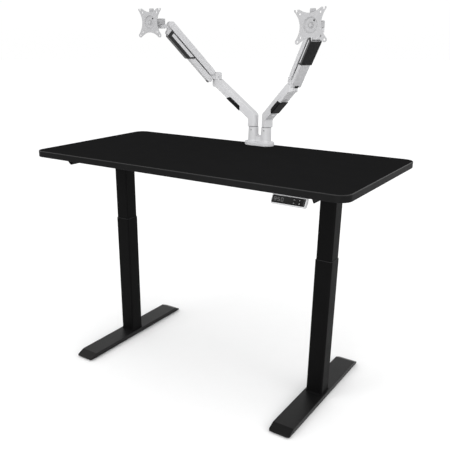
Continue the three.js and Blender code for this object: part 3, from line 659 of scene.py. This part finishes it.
def make_keypad_housing():
    low, high = box_mm("keypad_housing")
    top = high.z
    lean = (top - low.z - 3) * tan(FACE_TILT)
    side_view = [(low.y + lean + 3, top, 1), (low.y, low.z + 3, 2.2), (low.y + 3, low.z, 1.5),
        (high.y - 20, low.z, 4), (high.y - 8, low.z + 15, 4), (high.y - 6, top, 1)]
    shell = prism("keypad_shell", fillet(side_view), low.x, high.x, "X")
    depth = high.y - low.y
    plan = rectangle(high.x - low.x, 2 * depth, 7, (low.x + high.x) / 2, low.y + depth, 10)
    overlap(shell, prism("plan", plan, low.z - 1, top + 1))
    shell = round_edges(shell, 1.1, 3, 40)
    recess = prism("recess", rectangle(FACE_WIDTH, FACE_HEIGHT, 4, steps=8), -4.6, 12)
    cut(shell, moved(recess, FACE))
    place(shell, "top", SILVER, replaces="keypad_housing")


def make_keypad_panel():
    panel = prism("keypad_face", rectangle(FACE_WIDTH - 0.6, FACE_HEIGHT - 0.6, 3.7, steps=8), -3, 0)
    panel = round_edges(panel, 0.4, 3)
    for x, y in KEYS.values():
        hole = rectangle(KEY_WIDTH + 0.6, KEY_HEIGHT + 0.6, 1.8, x, y, 5)
        cut(panel, prism("key_hole", hole, -5, 5))
    place(panel, "top", GLOSS, FACE, replaces="keypad_panel")


def bar(x0, y0, x1, y1, width=0.9, rise=0.12, base=0.0):
    """A printed stroke between two points, with pointed ends."""
    start, end = Vector((x0, y0)), Vector((x1, y1))
    run = (end - start).normalized()
    side = Vector((-run.y, run.x)) * width / 2
    tip = run * width / 2
    outline = [start - tip, start - side, end - side, end + tip, end + side, start + side]
    return prism("stroke", outline, base - 0.1, base + rise)


def make_digit(x, y, lit):
    """A seven-segment digit. lit names the segments from a, at the top, clockwise, to g."""
    h, w, gap = 5.5, 3.75, 0.55
    ends = {"a": (-w + gap, h, w - gap, h), "b": (w, h - gap, w, gap), "c": (w, -gap, w, gap - h),
        "d": (-w + gap, -h, w - gap, -h), "e": (-w, -gap, -w, gap - h), "f": (-w, h - gap, -w, gap),
        "g": (-w + gap, 0, w - gap, 0)}
    return [bar(x + a, y + b, x + c, y + d) for a, b, c, d in (ends[s] for s in lit)]


def make_display():
    strokes = []
    for x, lit in ((-49, "abcdfg"), (-36, "acdfg"), (-23, "abcdef")):
        strokes.extend(make_digit(x, 0.5, lit))
    strokes.append(bar(54, -9, 54, 9, 0.5))
    place(merged("keypad_display", strokes), "top", DIM_PRINT, FACE)


def make_key(name):
    x, y = KEYS[name]
    cap = prism(name + "_cap", rectangle(KEY_WIDTH, KEY_HEIGHT, 1.5, x, y, 5), -3, KEY_PROUD)
    place(round_edges(cap, 0.3, 3), name, GLOSS, FACE, replaces=name)
    strokes = [bar(x + a, y + b, x + c, y + d, 0.8, 0.1, KEY_PROUD) for a, b, c, d in KEY_SIGNS[name]]
    place(merged(name + "_icon", strokes), name, PRINT, FACE)


make_keypad_housing()
make_keypad_panel()
make_display()
for key_name in KEYS:
    make_key(key_name)


# ---- arm base and clamp ---------------------------------------------------------------------
BASE_X, BASE_Y = 20, 310
POLES = (-32, 32)
POLE_RADIUS, POLE_TOP, POLE_FOOT = 20, 21.6, 23
CLAMP_Y, CLAMP_SCREW_Z = 320, 940
DESK_TOP = box_mm("desktop")[1].z
SPLIT_Z = point("left_base_swivel").z
BASE = at(BASE_X, BASE_Y)


def make_arm_base():
    low, _ = box_mm("arm_base")
    z0 = low.z

    def flange(inset):
        return stadium(-35, 35, 35 - inset, steps=28)

    def plate(inset):
        return rectangle(70 - 2 * inset, 70 - 2 * inset, 4 - inset, 0, 15)
    body = soft_slab("arm_base_casting", flange, z0, z0 + 16, 3)
    tongue = soft_slab("tongue", plate, z0 + 0.02, z0 + 12.7, 1)
    half, saddle, bend = POLES[1], DESK_TOP + 39, 15
    view = [(-half, z0 + 2, 0), (half, z0 + 2, 0), (half, saddle + bend, 0), (bend, saddle + bend, 0),
        (bend, saddle, bend - 0.1), (-bend, saddle, bend - 0.1), (-bend, saddle + bend, 0),
        (-half, saddle + bend, 0)]
    join(body, tongue, prism("web", fillet(view, 10), -14, 14, "Y"))
    pole = [(0, z0 + 2), (POLE_FOOT + 5, z0 + 2), (POLE_FOOT + 5, z0 + 15.9), (POLE_FOOT + 2.6, z0 + 16.6),
        (POLE_FOOT + 0.9, z0 + 18.2), (POLE_FOOT, z0 + 21), (POLE_TOP, SPLIT_Z - 2.6),
        (POLE_TOP - 1.0, SPLIT_Z - 1.6), (12, SPLIT_Z - 1.6), (12, SPLIT_Z + 30), (11, SPLIT_Z + 31),
        (0, SPLIT_Z + 31)]
    for x in POLES:
        join(body, moved(turned("pole", pole, steps=64), at(x)))
    place(body, "top", ARM_PAINT, BASE, replaces="arm_base")
    # Dark rings between each pole and its collar: painted shade for the shadow line in that gap.
    low, high = SPLIT_Z - 1.5, SPLIT_Z - 0.1
    flat_round = [(12.3, low), (19.0, low), (19.0, high), (12.3, high)]
    gap_shade_rings = [moved(turned("flat_round", flat_round, steps=64), at(x)) for x in POLES]
    place(merged("pole_gap_shade_rings", gap_shade_rings), "top", PAINTED_GAP_SHADE, BASE)
    spots = [((x, y, z0 + 16), AS_IS) for x in (-52, 52) for y in (-14, 14)]
    screws("base_screws", (4.2, 1.6), spots, "top", ZINC, BASE)
    grubs = [((x, -POLE_TOP - 0.1, SPLIT_Z - 14), FACING_FRONT) for x in POLES]
    screws("pole_grub_screws", (2.6, 0.4), grubs, "top", DARK_SCREW, BASE)


def make_clamp_bracket():
    low, high = box_mm("clamp_bracket")
    inner, shelf = high.y - 6, low.z + 8
    side_view = [(high.y, high.z, 1), (inner, high.z, 0.5), (inner, shelf, 3), (low.y, shelf, 1),
        (low.y, low.z, 1), (high.y, low.z, 6)]
    piece = prism("clamp_plate", fillet(side_view), low.x, high.x, "X")
    outline = rectangle(high.x - low.x, 200, 8, (low.x + high.x) / 2, low.y + 100, 6)
    overlap(piece, prism("plan", outline, 800, 1000))
    piece = round_edges(piece, 0.9, 3, 40)
    cut(piece, cylinder("bore", 6.3, low.z - 1, low.z + 9, u=BASE_X, v=CLAMP_Y, steps=32))
    place(piece, "top", ARM_PAINT, replaces="clamp_bracket")
    spots = [((x, high.y, CLAMP_SCREW_Z), FACING_BACK) for x in (BASE_X - 20, BASE_X + 20)]
    screws("clamp_screws", (4.6, 2.4), spots, "top", ZINC)


def make_clamp_screw():
    low, high = box_mm("clamp_screw")
    thread = [(0, low.z + 4), (5, low.z + 4)]
    for turn in range(36):
        z = low.z + 15 + turn * 2
        if z + 1 < high.z - 6:
            thread.extend([(5.1, z), (5.95, z + 1)])
    pad = [(5.1, high.z - 6), (9, high.z - 5.6), (10, high.z - 4), (17, high.z - 3.6), (18, high.z - 2.4),
        (18, high.z - 0.4), (17.4, high.z), (0, high.z)]
    spindle = turned("clamp_spindle", thread + pad, steps=48)
    matrix = at(BASE_X, CLAMP_Y)
    knob = turned("clamp_knob", [(0, low.z), (13.6, low.z), (15, low.z + 1.4), (15, low.z + 11),
        (13.6, low.z + 12.6), (8, low.z + 14), (0, low.z + 14)], steps=60)
    for lobe in range(6):
        angle = lobe * pi / 3
        cut(knob, cylinder("flute", 4.2, low.z - 1, low.z + 15, u=17.2 * cos(angle),
            v=17.2 * sin(angle), steps=28))
    place(round_edges(knob, 0.5, 2, 50), "clamp_screw", BOX_PLASTIC, matrix)
    place(spindle, "clamp_screw", ZINC, matrix, replaces="clamp_screw")


make_arm_base()
make_clamp_bracket()
make_clamp_screw()


# ---- monitor arms ---------------------------------------------------------------------------
LOWER = {"run": 186, "inner_bend": 47, "outer_bend": 33, "boss": 32, "top": 193}
SPRING_LENGTH = 263
LINK_DROP = (6.3, -28.3)
SLOPE = (LOWER["top"] - 2 - LOWER["inner_bend"]) / LOWER["run"]
SLOPE_ANGLE = atan(SLOPE)
PLATE_ROLL = {"left": 0.0, "right": radians(4.9)}


def lower_face(x):
    """Height of the lower link's outer, lower face."""
    return LOWER["outer_bend"] + (x - POLE_RADIUS) * SLOPE


def on_lower_face(x):
    """A frame on the link's lower face, X up the slope and Z out of the face."""
    tilt = Matrix.Rotation(-SLOPE_ANGLE, 4, "Y") @ Matrix.Rotation(pi, 4, "X")
    return at(x, 0, lower_face(x)) @ tilt


def make_lower_arm(side, matrix):
    run, top, radius = LOWER["run"], LOWER["top"], POLE_RADIUS
    boss_low = top - LOWER["boss"]
    meet_low = radius + (boss_low - LOWER["outer_bend"]) / SLOPE
    meet_high = -radius + (top - LOWER["inner_bend"]) / SLOPE
    end = run + radius
    view = [(-radius, 0, 0), (radius, 0, 0), (radius, LOWER["outer_bend"], 5), (meet_low, boss_low, 8),
        (end, boss_low, 14), (end, top, 0), (meet_high, top, 12), (-radius, LOWER["inner_bend"], 3)]
    arm = prism(f"{side}_lower_link", fillet(view, 8), -radius, radius, "Y")
    overlap(arm, prism("plan", stadium(0, run, radius, steps=32), -1, top + 1))
    arm = round_edges(arm, 2.4, 4, 34)
    centre, half_length = 95, 64
    waist, skirt = radius - 1.1, -15
    slot = prism("groove", stadium(12 - half_length, half_length - 12, 12, steps=16), -5, 10)
    recess = fillet([(-half_length, 10, 0), (-half_length, skirt - 1, 12), (half_length, skirt - 1, 12),
        (half_length, 10, 0)])
    sides = [prism("waist", recess, *sorted((y * waist, y * (radius + 3))), "Y") for y in (-1, 1)]
    cut(arm, *[moved(tool, on_lower_face(centre)) for tool in (slot, *sides)])
    cut(arm, cylinder("collar_bore", 12.4, -1, 32), cylinder("boss_bore", 8.4, top - 26, top + 1, u=run))
    place(arm, f"{side}_lower", ARM_PAINT, matrix, replaces=f"{side}_lower_arm")

    inside = waist + 0.3
    outside = inside + 2.2
    section = [(-outside, skirt, 0.5), (-outside, 3.2, 3.4), (outside, 3.2, 3.4), (outside, skirt, 0.5),
        (inside, skirt, 0.5), (inside, 0.5, 1), (-inside, 0.5, 1), (-inside, skirt, 0.5)]
    cover = prism(f"{side}_lower_cover", fillet(section), -45, 45, "X")
    ends = fillet([(-29, skirt - 1, 0), (-43, 4, 3), (43, 4, 3), (29, skirt - 1, 0)])
    overlap(cover, prism("ends", ends, -outside - 1, outside + 1, "Y"))
    join(cover, prism("catch", rectangle(70, 22.8, 3), -2.5, 1))
    place(cover, f"{side}_lower", COVER_PLASTIC, matrix @ on_lower_face(centre),
        replaces=f"{side}_lower_clip")


def tongue(x, z, half=14):
    """Two pivot eyes and the web between them."""
    low_x, low_z = x + LINK_DROP[0], z + LINK_DROP[1]
    web = [(x - 9, z, 0), (low_x - 6.5, low_z, 0), (low_x + 7.5, low_z, 0), (x + 11.5, z, 0)]
    return [
        cylinder("eye", 12, -half, half, "Y", x, z, 40),
        cylinder("lower_eye", 8, -half, half, "Y", low_x, low_z, 32),
        prism("web", fillet(web), -half + 0.5, half - 0.5, "Y"),
        cylinder("pin", 4, -21.5, 21.5, "Y", x, z, 28),
        cylinder("lower_pin", 4, -19, 19, "Y", low_x, low_z, 28)]


def make_knuckle(side, matrix):
    """Turns on the elbow and holds the spring arm's two pivots."""
    low, top, radius = -1.7, 26, 21
    body = turned(f"{side}_elbow", [(0, low), (radius, low), (radius, top - 4), (radius - 1.2, top - 1.2),
        (radius - 4, top), (0, top)], steps=64)
    neck = round_edges(block("neck", (0, 29), (-14, 14), (low, top - 2)), 3, 4)
    spigot = cylinder("spigot", 8, low - 24, low + 2, steps=36)
    join(body, neck, spigot, *tongue(33, 27))
    body = round_edges(body, 0.8, 2, 50)
    if side == "right":
        cut(body, prism("cable_slot", rectangle(9, 9, 1.2, 9, 12, 4), -30, -16, "Y"))
    place(body, f"{side}_elbow", ARM_PAINT, matrix, replaces=f"{side}_elbow_knuckle")
    cap = turned("cap", [(0, top - 0.5), (15, top - 0.5), (15, top + 1.2), (13.6, top + 2.4),
        (0, top + 2.4)], steps=56)
    place(cap, f"{side}_elbow", ARM_PAINT, matrix)
    spots = [((0, -radius + 0.3, 8), FACING_FRONT), ((0, radius - 0.3, 8), FACING_BACK)]
    screws(f"{side}_elbow_screws", (2.4, 0.5), spots, f"{side}_elbow", DARK_SCREW, matrix)


def make_spring_cover(side, matrix):
    """The channel over the gas spring, open below."""
    length, half, wall = SPRING_LENGTH, 22, 3
    top, bottom = 18, -9.5
    middle, end = (top + bottom) / 2, (top - bottom) / 2
    shell = prism(f"{side}_spring_cover", stadium(0, length, end, middle, 20), -half, half, "Y")
    shell = round_edges(shell, 3.2, 5, 60)
    inside = half - wall
    cut(shell, block("hollow", (-30, length + 30), (-inside, inside), (bottom - 1, top - wall)),
        block("rear", (-30, -2), (-inside, inside), (bottom - 1, top + 1)),
        block("front", (length + 2, length + 30), (-inside, inside), (bottom - 1, top + 1)))
    for x in (0, length):
        cut(shell, cylinder("pin_hole", 4.3, -half - 1, half + 1, "Y", x, 0, 28))
    body = f"{side}_spring_arm"
    place(shell, body, ARM_PAINT, matrix, replaces=f"{side}_arm_shell")
    cap = [(0, half - 0.4), (7.5, half - 0.4), (7.5, half + 0.5), (6.8, half + 1.0), (0, half + 1.0)]
    caps = [moved(turned("cap", cap, "Y", 40), at(x) @ turn)
        for x in (0, length) for turn in (HALF_TURN, AS_IS)]
    place(merged(f"{side}_pivot_caps", caps), body, ARM_PAINT, matrix)

    reach = half - wall - 0.3
    barrel = turned(f"{side}_gas_strut", [(0, 52), (7.8, 52), (8.5, 53.4), (8.5, 175), (7, 178), (0, 178)],
        steps=40)
    moved(barrel, FACING_RIGHT)
    rod = moved(cylinder("rod", 4, 40, 226, steps=28), FACING_RIGHT)
    join(barrel, rod, cylinder("eye", 5, -reach, reach, "Y", 40, 0, 24),
        cylinder("eye", 5, -reach, reach, "Y", 226, 0, 24))
    place(barrel, body, STEEL, matrix @ at(z=4), replaces=f"{side}_gas_spring")


def make_link(side, matrix):
    """The lower bar of the parallelogram, open above, with its snap-on cable cover."""
    length, half, wall = SPRING_LENGTH, 19, 3
    top, bottom = 11, -12
    middle, end = (top + bottom) / 2, (top - bottom) / 2
    beam = prism(f"{side}_lower_bar", stadium(0, length, end, middle, 20), -half, half, "Y")
    beam = round_edges(beam, 2.4, 4, 60)
    inside = half - wall
    cut(beam, block("hollow", (-30, length + 30), (-inside, inside), (bottom + wall, top + 1)),
        block("rear", (-30, 6), (-inside, inside), (-8.6, top)),
        block("rear_end", (-30, -7), (-inside, inside), (bottom - 1, top)),
        block("front", (length - 6, length + 30), (-inside, inside), (bottom - 1, top)))
    for x in (0, length):
        cut(beam, cylinder("pin_hole", 4.3, -half - 1, half + 1, "Y", x, 0, 28))
    body = f"{side}_link"
    place(beam, body, ARM_PAINT, matrix, replaces=f"{side}_arm_link")

    # A dark block in the link's rear opening: painted shade that hides the pale eye behind it.
    rear_shade_block = round_edges(block("rear_shade_block", (-6.5, 6), (-7, 8), (bottom - 2.2, -8.8)), 1, 3)
    place(rear_shade_block, body, CLIP_PLASTIC, matrix)

    start, stop, clip_top, tab_top, clip_low, skin = 110, 264, -3, 10, -16.5, 2
    slant = 24
    outside = half + 0.3 + skin
    view = [(start + slant, clip_low, 4), (stop - 4, clip_low, 6), (stop, tab_top, 3),
        (stop - 15, tab_top, 2), (stop - 15, clip_top, 2), (start + 20, clip_top, 1.5),
        (start + 9, tab_top, 2), (start, tab_top, 2)]
    cover = round_edges(prism(f"{side}_cable_cover", fillet(view), -outside, outside, "Y"), 1.3, 4, 40)
    cut(cover, block("hollow", (start - 1, stop + 1), (-outside + skin, outside - skin),
        (clip_low + skin, tab_top + 1)))
    place(cover, body, CLIP_PLASTIC, matrix, replaces=f"{side}_arm_clip")


def make_end_bracket(side, matrix):
    slot, bottom, radius, reach = 3.5, -12, 17, 39
    hub = turned(f"{side}_head_bracket", [(0, bottom), (radius - 1.5, bottom), (radius, bottom + 1.5),
        (radius, slot - 0.8), (radius - 0.8, slot), (0, slot)], steps=56)
    moved(hub, at(reach))
    neck_view = [(0, -9, 0), (reach, bottom, 0), (reach, slot, 0), (reach - radius - 2, slot, 3),
        (6, slot + 4, 2)]
    neck = round_edges(prism("neck", fillet(neck_view), -14, 14, "Y"), 1.6, 3, 40)
    join(hub, neck, *tongue(0, 0))
    place(round_edges(hub, 0.6, 2, 55), f"{side}_end", ARM_PAINT, matrix, replaces=f"{side}_end_bracket")


def make_pan_block(side, matrix):
    """The upper half of the pan joint, forked at its front for the tilt block."""
    low, ear, half, reach = -7.2, 11, 16, 38
    hub = turned(f"{side}_pan_head", [(0, low), (16.2, low), (17, low + 0.8), (17, 13.5), (15, 15.6),
        (12, 16), (0, 16)], steps=56)
    side_view = (arc(-reach, 0, ear, pi / 2, 1.5 * pi, 20)
        + [Vector((-reach + 6, -ear)), Vector((-reach + 13, low)), Vector((0, low)), Vector((0, ear))])
    fork = prism("fork", side_view, -half, half, "X")
    fork = round_edges(fork, 1.6, 3, 50)
    join(hub, fork)
    cut(hub, block("slot", (-10.9, 10.9), (-reach - 20, -reach + 13), (-20, 20)),
        cylinder("bore", 4.3, -30, 30, "X", -reach, 0, 28))
    # Painted shade: the pan head carries the darker copy of the white paint.
    place(round_edges(hub, 0.5, 2, 55), f"{side}_pan", SHADED_HEAD_PAINT, matrix, replaces=f"{side}_pan_block")
    # A dark ring under the pan head: painted shade for the gap below it.
    ring = turned("ring", [(8, low - 0.25), (16.4, low - 0.25), (16.4, low + 0.5), (8, low + 0.5)],
        steps=56)
    place(ring, f"{side}_pan", PAINTED_GAP_SHADE, matrix)
    spots = [((x, -reach, 0), FACING_RIGHT if x > 0 else FACING_LEFT) for x in (-half, half)]
    screws(f"{side}_tilt_screws", (5.6, 2.6), spots, f"{side}_pan", ZINC, matrix)


def make_tilt_block(side, matrix):
    reach, half = 38, 10.5
    front, back = -68.2, -64.2
    flange = turned(f"{side}_tilt_head", [(0, front), (21.2, front), (22, front + 0.8), (22, back - 0.8),
        (21.2, back), (0, back)], "Y", 64)
    arm_box = round_edges(block("arm", (-half, half), (back - 1, -reach), (-8, 8)), 1.5, 3)
    tab = round_edges(prism("tab", rectangle(20, 43, 3, 0, 31.5, 6), back - 1, back + 6, "Y"), 1.2, 3)
    join(flange, cylinder("knob", 10, -half, half, "X", -reach, 0, 40), arm_box, tab,
        cylinder("tilt_pin", 4, -16, 16, "X", -reach, 0, 28),
        cylinder("spindle", 6, front - 8.8, front + 2, "Y", steps=36))
    # Painted shade: the tilt head carries the darker copy of the white paint.
    place(round_edges(flange, 0.5, 2, 55), f"{side}_tilt", SHADED_HEAD_PAINT, matrix,
        replaces=f"{side}_tilt_block")


def plate_outline(reach=50, ear=8.6, waist=23):
    """Four ears joined by sides that curve in."""
    points = []
    spread = 1.75
    for corner in range(4):
        turn = corner * pi / 2 + pi / 4
        far = reach * sqrt(2)
        points += arc(far * cos(turn), far * sin(turn), ear, turn - spread, turn + spread, 14)
        start = points[-1]
        following = turn + pi / 2
        end = Vector((far * cos(following) + ear * cos(following - spread),
            far * sin(following) + ear * sin(following - spread)))
        pull = Vector((waist * cos(turn + pi / 4), waist * sin(turn + pi / 4)))
        for k in range(1, 18):
            t = k / 18
            points.append(start * (1 - t) ** 2 + pull * 2 * t * (1 - t) + end * t ** 2)
    return points


def make_screen_plate(side, matrix):
    """A pressed plate with a dished centre on a hub, and holes at 75 and 100 mm."""
    front, thick, depth = -77, 3, 8.5
    back = front + depth
    sheet = prism(f"{side}_vesa_plate", plate_outline(), front, front + thick, "Y")
    cut(sheet, cylinder("mouth", 27, front - 1, front + thick + 1, "Y", steps=72))
    cup = turned("cup", [(6.4, front + 1.5), (8.4, front + 1.5), (9, front + 2.1), (9.4, back - 3.2),
        (10.2, back - 3), (21.5, back - 3), (23.0, back - 3.8), (25.6, front + 0.7), (26.6, front),
        (28.5, front), (28.5, front + thick), (27.6, back - 1.2), (26.4, back), (6.4, back)], "Y", 72)
    join(sheet, cup)
    for x in (-1, 1):
        for z in (-1, 1):
            cut(sheet, cylinder("hole_75", 3.5, front - 5, front + 9, "Y", x * 37.5, z * 37.5, 28))
        cut(sheet, cylinder("hole_100", 3.5, front - 5, front + 9, "Y", x * 50, -50, 28))
        slot = [Vector((x * 50 + 3.5, 70)), Vector((x * 50 - 3.5, 70))]
        slot += arc(x * 50, 48, 3.5, pi, 2 * pi, 14)
        cut(sheet, prism("slot_100", slot, front - 5, front + 9, "Y"),
            block("flat_top", (x * 50 - 14, x * 50 + 14), (front - 5, front + 9), (52.5, 70)))
    cut(sheet, cylinder("index_hole", 3.0, front - 5, back + 5, "Y", 12, 14, 24))
    sheet = round_edges(sheet, 0.5, 2, 50)
    # Painted shade: the plate carries the darker copy of the white paint.
    place(sheet, f"{side}_plate", SHADED_HEAD_PAINT, matrix, replaces=f"{side}_screen_plate")
    # The hub screw's head is a darker grey than the plate: painted shade in the centre of the dish.
    flat_round = turned("hub_screw", [(0, front + 0.4), (5.6, front + 0.4), (7.6, front + 1.2),
        (7.6, front + 1.7), (0, front + 1.7)], "Y", 48)
    place(flat_round, f"{side}_plate", HUB_SHADE_PAINT, matrix)
    # A dark pin inside the index hole: painted shade that makes the hole read dark.
    index = cylinder("index_hole_shade_pin", 2.8, back - 2.4, back - 0.4, "Y", 12, 14, 24)
    place(index, f"{side}_plate", CLIP_PLASTIC, matrix)


def make_arm(side):
    collar, elbow, pitch, link, level, pan = (point(f"{side}_{name}")
        for name in ("base_swivel", "elbow_swivel", "arm_pitch", "link_pitch", "end_level", "head_pan"))
    upper_turn = azimuth(pitch, level)
    rise = level - pitch
    climb = asin(rise.z / rise.length)
    make_lower_arm(side, frame_at(collar, azimuth(collar, elbow)))
    make_knuckle(side, frame_at(elbow, upper_turn))
    make_spring_cover(side, frame_at(pitch, upper_turn, climb))
    make_link(side, frame_at(link, upper_turn, climb))
    make_end_bracket(side, frame_at(level, upper_turn))
    make_pan_block(side, frame_at(pan))
    make_tilt_block(side, frame_at(pan))
    make_screen_plate(side, frame_at(pan) @ Matrix.Rotation(-PLATE_ROLL[side], 4, "Y"))


for side, _ in SIDES:
    make_arm(side)


# ---- floor, light and camera ----------------------------------------------------------------
HORIZON, ZENITH = 1.0, 1.2  # the floor's own brightness is that of the horizon


def make_floor():
    floor = prism("floor", circle(40, steps=96), -0.02, 0.0)
    tones = (0.94, 0.94, 0.94), (0.95, 0.95, 0.95)
    floor.data.materials.append(finish(None, "pale_floor", *tones, (0.8, 0.9), 60, 0.0001, 0.0))


def aim(light, position, target):
    light.location = position
    light.rotation_euler = (Vector(target) - Vector(position)).to_track_quat("-Z", "Y").to_euler()
    scene.collection.objects.link(light)


def area_light(name, position, target, size, power):
    data = bpy.data.lights.new(name, "AREA")
    data.shape = "DISK"
    data.size = size
    data.energy = power
    aim(bpy.data.objects.new(name, data), position, target)


def make_light():
    """A white dome, a little brighter overhead than at the horizon, with a soft key and side light."""
    world = bpy.data.worlds.new("studio")
    world.use_nodes = True
    tree = world.node_tree
    background = tree.nodes["Background"]
    direction = tree.nodes.new("ShaderNodeTexCoord")
    parts = tree.nodes.new("ShaderNodeSeparateXYZ")
    height = add_node(tree, "ShaderNodeMapRange", To_Min=HORIZON, To_Max=ZENITH)
    tree.links.new(direction.outputs["Generated"], parts.inputs["Vector"])
    tree.links.new(parts.outputs["Z"], height.inputs["Value"])
    tree.links.new(height.outputs["Result"], background.inputs["Strength"])
    background.inputs["Color"].default_value = (1, 1, 1, 1)
    scene.world = world
    area_light("key", (-1.4, -2.8, 3.4), (0, 0, 0.9), 1.6, 20)
    area_light("side", (3.4, -0.4, 1.5), (0, 0, 0.8), 1.6, 12)
    area_light("front", (1.2, -3.0, 0.8), (0.1, 0.1, 1.3), 1.8, 34)
    accent = bpy.data.lights.new("accent", "SPOT")
    accent.energy = 80
    accent.spot_size = radians(20)
    accent.spot_blend = 1.0
    accent.shadow_soft_size = 0.15
    aim(bpy.data.objects.new("accent", accent), (0.9, -1.9, 1.15), (0.08, 0.27, 1.06))
    scene.view_settings.view_transform = "Standard"


def make_camera():
    data = bpy.data.cameras.new("camera")
    data.lens = 47.97
    data.sensor_width = 36
    data.shift_x = 0.0455
    data.shift_y = 0.0862
    camera = bpy.data.objects.new("camera", data)
    camera.location = (1.34294, -2.04121, 1.3989)
    camera.rotation_euler = (radians(69.30), 0, radians(34.56))
    scene.collection.objects.link(camera)
    scene.camera = camera


make_floor()
make_light()
make_camera()
